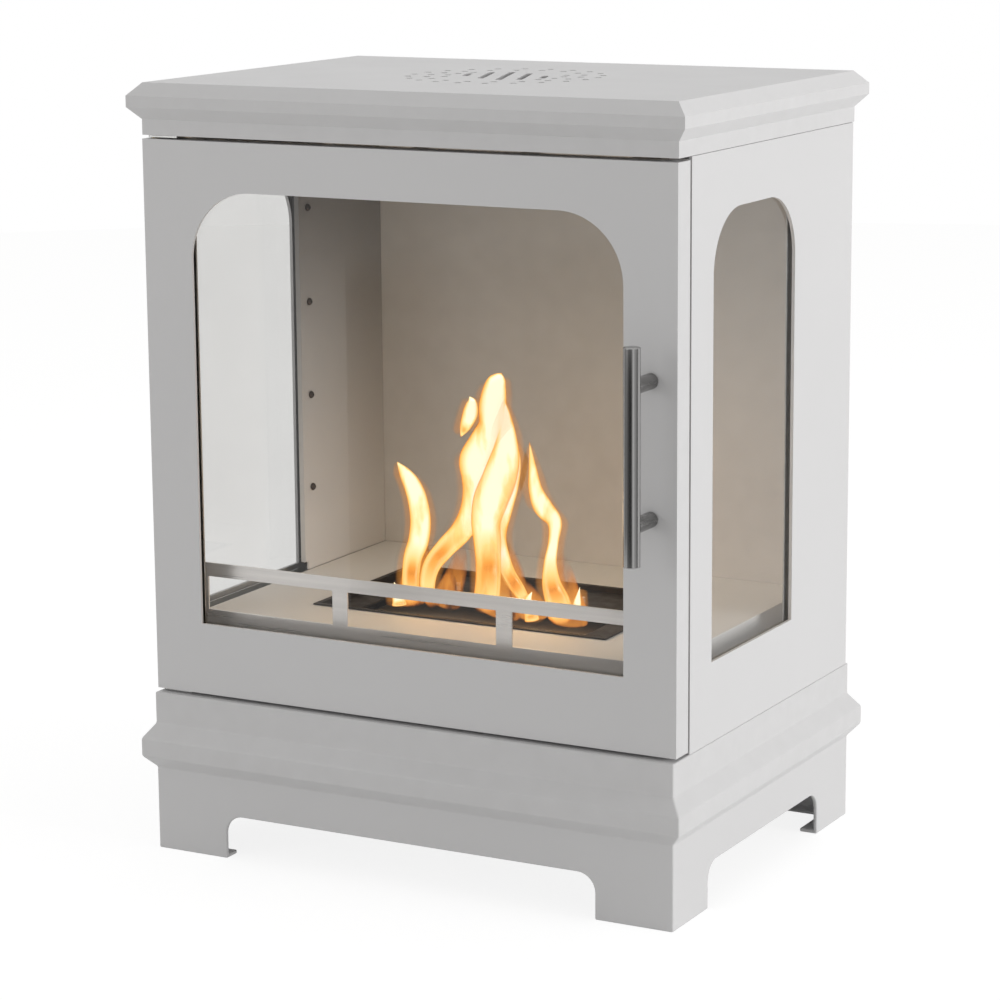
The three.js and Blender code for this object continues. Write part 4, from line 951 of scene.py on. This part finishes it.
def flame_glow(name, strength, stops, most, spread, streaky, full, hollow=0.0, tip=0.97):
    """Burning gas. Facing is 0 where the skin faces the eye and 1 on its rim. The heat falls from
    the middle to the rim, and in streaks, and picks the colour from the stops. Near the foot only a
    sheath burns, so there the heat of the middle drops by the hollow share. The cooler gas is also
    clearer: the cover rises up to a share of most, where the heat reaches full. The heat also rises
    from nothing just over the foot, and from the place called tip it falls to nothing at the end."""
    material = bpy.data.materials.new(name)
    tree = new_tree(material)
    facing = node(tree, "ShaderNodeLayerWeight", Blend=0.5)
    body = spanned(tree, facing, (spread, HOTTEST_FACING), (0.0, 1.0), "Facing")
    streaks = noise(tree, STREAK_SIZE, stretch=STREAK_STRETCH)
    streak = spanned(tree, streaks, STREAK_SPAN, (streaky, STREAK_MOST), "Fac")
    along = node(tree, "ShaderNodeAttribute", attribute_name="along")
    foot_stops = ((0, (HOLLOW_AT_FOOT * hollow,) * 3), (HOLLOW_MOST, (hollow,) * 3),
                  (HOLLOW_TO, (0, 0, 0)))
    foot = colour_ramp(tree, along, foot_stops, "Fac")
    inside = spanned(tree, facing, HOLLOW_WIDTH, (1.0, 0.0), "Facing", "SMOOTHSTEP")
    sheath = one_less(tree, product(tree, foot, inside))
    lift = spanned(tree, along, (0.0, LIFT_TO), (0.0, 1.0), "Fac")
    fade = spanned(tree, along, (tip, 1.0), (1.0, 0.0), "Fac")
    rising = product(tree, sheath, product(tree, lift, fade))
    heat = product(tree, product(tree, body, streak, clamp=True), rising, clamp=True)
    fire = node(tree, "ShaderNodeEmission", Strength=strength)
    link(tree, colour_ramp(tree, heat, stops), fire, 0, "Color")
    cover = spanned(tree, heat, (0.0, full), (0.0, most), curve="SMOOTHSTEP")
    blended(tree, cover, node(tree, "ShaderNodeBsdfTransparent"), fire)
    return material


DEEP_ORANGE = (0.72, 0.17, 0.02)
ORANGE = (0.93, 0.35, 0.055)
YELLOW = (1.0, 0.64, 0.18)
PALE = (1.0, 0.90, 0.50)
CREAM = (1.0, 0.97, 0.74)
SKIN_STOPS = ((0, DEEP_ORANGE), (0.32, ORANGE), (0.58, YELLOW), (0.85, PALE), (1, CREAM))
CORE_STOPS = ((0, ORANGE), (0.2, YELLOW), (0.45, PALE), (1, CREAM))
VEIL_STOPS = ((0, DEEP_ORANGE), (0.8, ORANGE), (1, YELLOW))
PAINTED_GLOW_STOPS = ((0, ORANGE), (1, ORANGE))
flame_skin = flame_glow("flame_skin", 1.5, SKIN_STOPS, most=0.8, spread=0.98, streaky=0.7, full=0.35,
                        hollow=0.8)
flame_core = flame_glow("flame_core", 2.0, CORE_STOPS, most=0.97, spread=1.0, streaky=0.35, full=0.5,
                        hollow=0.95)
flame_veil = flame_glow("flame_veil", 1.0, VEIL_STOPS, most=0.75, spread=1.0, streaky=0.2, full=0.8,
                        hollow=0.5, tip=0.3)
# Painted glow: a wider, faint orange skin round each tongue stands in for the warm halo of light round
# the flames.
flame_haze = flame_glow("flame_haze", 1.0, PAINTED_GLOW_STOPS, most=0.24, spread=0.6, streaky=1.0, full=1.1)
print("flame materials:", sum(material.name.startswith("flame") for material in bpy.data.materials))

# %% [markdown]
# The places of the tongues are read off the photograph: the distance behind the door's face, then
# rows of sideways place, height and half-width, all in millimetres. The shutter puts the fire out.

# %% Tongues
DOOR_FACE = box_of("door_frame")[0][1]
tongues = {
    "left": (99, [(-51.1, 184.0, 7.9), (-53.5, 199.7, 7.0), (-51.5, 219.2, 7.4), (-45.2, 235.1, 8.2),
                  (-42.4, 250.7, 8.2), (-43.9, 265.8, 7.8), (-48, 276.9, 7.0), (-54.8, 286.2, 4.6),
                  (-61.5, 294, 0)]),
    "main": (103, [(-32.6, 184.0, 6.1), (-38.5, 198.1, 6.1), (-35.7, 215.3, 6.9), (-24.3, 230.3, 7.7),
                   (-12.2, 242.9, 8.5), (-2.7, 257.5, 10.2), (3.4, 273.2, 12.7), (5.2, 288.4, 14.4),
                   (3.6, 299.6, 13.5), (10.5, 312.9, 11.8), (18.2, 327, 10.9), (18.3, 341.9, 10.7),
                   (19.8, 355.5, 8.6), (22.6, 362.2, 5.6), (24.6, 366.4, 0)]),
    "centre": (99, [(10.6, 185, 11.1), (12.5, 202.8, 10.2), (13.5, 221.9, 10.2), (13.7, 240.9, 11),
                    (13.8, 256, 11.8), (18.2, 271.5, 13.5), (25, 287.1, 13.4), (29.3, 302.5, 11.7),
                    (30.3, 317.5, 8.3), (27.9, 335.9, 4.6), (25.5, 350.5, 0)]),
    "inner_right": (106, [(45.7, 188, 2.5), (35.7, 202.2, 5.1), (27.3, 214.3, 5.9), (23.3, 229.1, 5.1),
                          (21.7, 244.1, 5.1), (25.2, 263.3, 6.7), (31.2, 282.7, 5.9),
                          (33.9, 301.6, 4.2), (32.3, 319.4, 0)]),
    "loose": (101, [(-10.3, 315.3, 0), (-6, 323.9, 4.2), (-0.8, 334.8, 5.9), (1, 343.2, 3.8),
                    (-0.6, 347.5, 0)]),
    "right": (96, [(78.2, 184.7, 9.9), (75.8, 199.5, 9.9), (70.1, 214.7, 7.5), (68.5, 230.3, 5),
                   (70.3, 246.2, 4.1), (70.3, 260.4, 5.8), (60.5, 270.7, 7.4), (54.8, 282.8, 5.4),
                   (53.2, 297.6, 3.3), (51.7, 319, 0)]),
    "lick_left": (97, [(-59.3, 184.0, 6.1), (-60, 188.3, 5.2), (-62.5, 195.7, 3.5), (-64.2, 201.7, 0)]),
    "lick_middle": (97, [(53.6, 184.0, 5.9), (52, 191.4, 5), (49.5, 198.7, 3.6), (52.9, 206.6, 0)]),
    "lick_right": (98, [(87.6, 190, 4.1), (88.5, 200, 3.3), (89.3, 206.8, 1.6), (90.2, 212.9, 0)]),
}

# Dim veils of gas low behind the tongues.
VEIL_BEHIND = 12
veils = {
    "veil_left": (98, [(-55, 181, 9), (-56, 192, 11), (-54, 207, 10), (-50, 224, 7), (-47, 238, 0)]),
    "veil_inner_left": (101, [(-30, 181, 10), (-28, 192, 11), (-22, 206, 9), (-16, 222, 6),
                              (-13, 236, 0)]),
    "veil_centre": (100, [(15, 181, 17), (18, 192, 18), (22, 207, 15), (20, 226, 11), (18, 245, 0)]),
    "veil_inner_right": (104, [(45, 181, 11), (44, 190, 10), (40, 200, 7), (36, 211, 0)]),
    "veil_right": (97, [(78, 181, 14), (78, 192, 14), (75, 206, 11), (72, 222, 8), (70, 240, 0)]),
}


ROWS_PER_PLACE = 12
THINNEST = 0.2 * MM
SWAY, SWAY_TURNS = 2.5 * MM, 45
CORE_SCALE, PAINTED_GLOW_GROWTH = 0.72, 6.5


def flame_tongue(name, behind, rows, material, scale=1.0, grow=0.0, around=24, flatness=0.8):
    """A tube with an oval section: point(v, a) = centre(v) + w(v) cos(a) n(v) + f w(v) sin(a) Y,
    where n is the normal of the centre line in the plane of the flame, w the half-width and f the
    flatness. A tube that grows past its flame lies level instead, with n = X, so that it can't fold
    over itself in a bend. The growth tapers off at both ends, and the foot is drawn in. The centre
    line sways a little forwards and backwards by a sine of its height. The tube closes at a pole on
    each end."""
    x, z, width = smooth_through(rows, ROWS_PER_PLACE * len(rows)).T * MM
    share = np.linspace(0, 1, len(width))
    taper = np.sqrt(np.clip(np.minimum(5 * share + 0.2, 6 * (1 - share)), 0, 1))
    drawn_in = np.clip(0.6 + 10 * share, 0, 1)
    width = np.maximum(scale * width + grow * MM * taper, THINNEST) * drawn_in
    run = np.gradient(np.stack((x, z), axis=-1), axis=0)
    run /= np.linalg.norm(run, axis=1)[:, None]
    normal = np.stack((run[:, 1], np.zeros_like(x), -run[:, 0]), axis=-1)
    if grow:
        normal = np.tile((1.0, 0, 0), (len(x), 1))
    sway = SWAY * np.sin(z * SWAY_TURNS + behind)
    centre = np.stack((x, DOOR_FACE + behind * MM + sway, z), axis=-1)
    angle = np.linspace(0, 2 * np.pi, around, endpoint=False)[None, :, None]
    across = width[:, None, None] * np.cos(angle) * normal[:, None, :]
    deep = flatness * width[:, None, None] * np.sin(angle) * np.array((0, 1.0, 0))
    rings = (centre[:, None, :] + across + deep).reshape(-1, 3)
    pole = len(rings)
    piece = new_piece("flame_" + name, np.vstack((rings, centre[0], centre[-1])),
                      ring_faces(len(x), around), fan_faces(around, 0, pole),
                      fan_faces(around, pole - around, pole + 1))
    along = np.append(np.repeat(share, around), (0, 1))
    piece.data.attributes.new("along", "FLOAT", "POINT").data.foreach_set("value", along)
    piece.data.materials.append(material)
    piece.data.shade_smooth()
    piece.visible_shadow = False
    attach(piece, "fireplace")
    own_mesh(piece)


for name, (behind, rows) in tongues.items():
    flame_tongue(name, behind, rows, flame_skin)
    flame_tongue(name + "_core", behind, rows, flame_core, CORE_SCALE)
    # Each tongue also gets its wider skin of painted glow.
    flame_tongue(name + "_haze", behind, rows, flame_haze, grow=PAINTED_GLOW_GROWTH)
for name, (behind, rows) in veils.items():
    flame_tongue(name, behind + VEIL_BEHIND, rows, flame_veil)
print("tongues:", len(tongues), "veils:", len(veils))

# %% [markdown]
# Thin glowing skins light a room with much grain, so two small warm lamps among the flames light the
# firebox.

# %% Light of the flames
FIRELIGHT = (1.0, 0.70, 0.45)


def flame_lamp(name, place, power, radius):
    """The warm light that the flames throw on the firebox."""
    data = bpy.data.lights.new(name, "POINT")
    data.energy = power
    data.color = FIRELIGHT
    data.shadow_soft_size = radius
    lamp = bpy.data.objects.new(name, data)
    bpy.context.scene.collection.objects.link(lamp)
    lamp.location = place


flame_lamp("flame_lamp_middle", (0.015, DOOR_FACE + 0.11, 0.26), 0.19, 0.03)
flame_lamp("flame_lamp_right", (0.068, DOOR_FACE + 0.11, 0.21), 0.03, 0.02)
print("flame lamps in watts:", [lamp.energy for lamp in bpy.data.lights if lamp.type == "POINT"])

# %% [markdown]
# ## Parts left bare
#
# A CAD part that no finished piece stands for would look bare, so the script lists such parts.

# %% Bare parts
bare = sorted(name for name, part in frame["nodes"].items() if not part.hide_render)
print("CAD parts still shown bare:", bare)
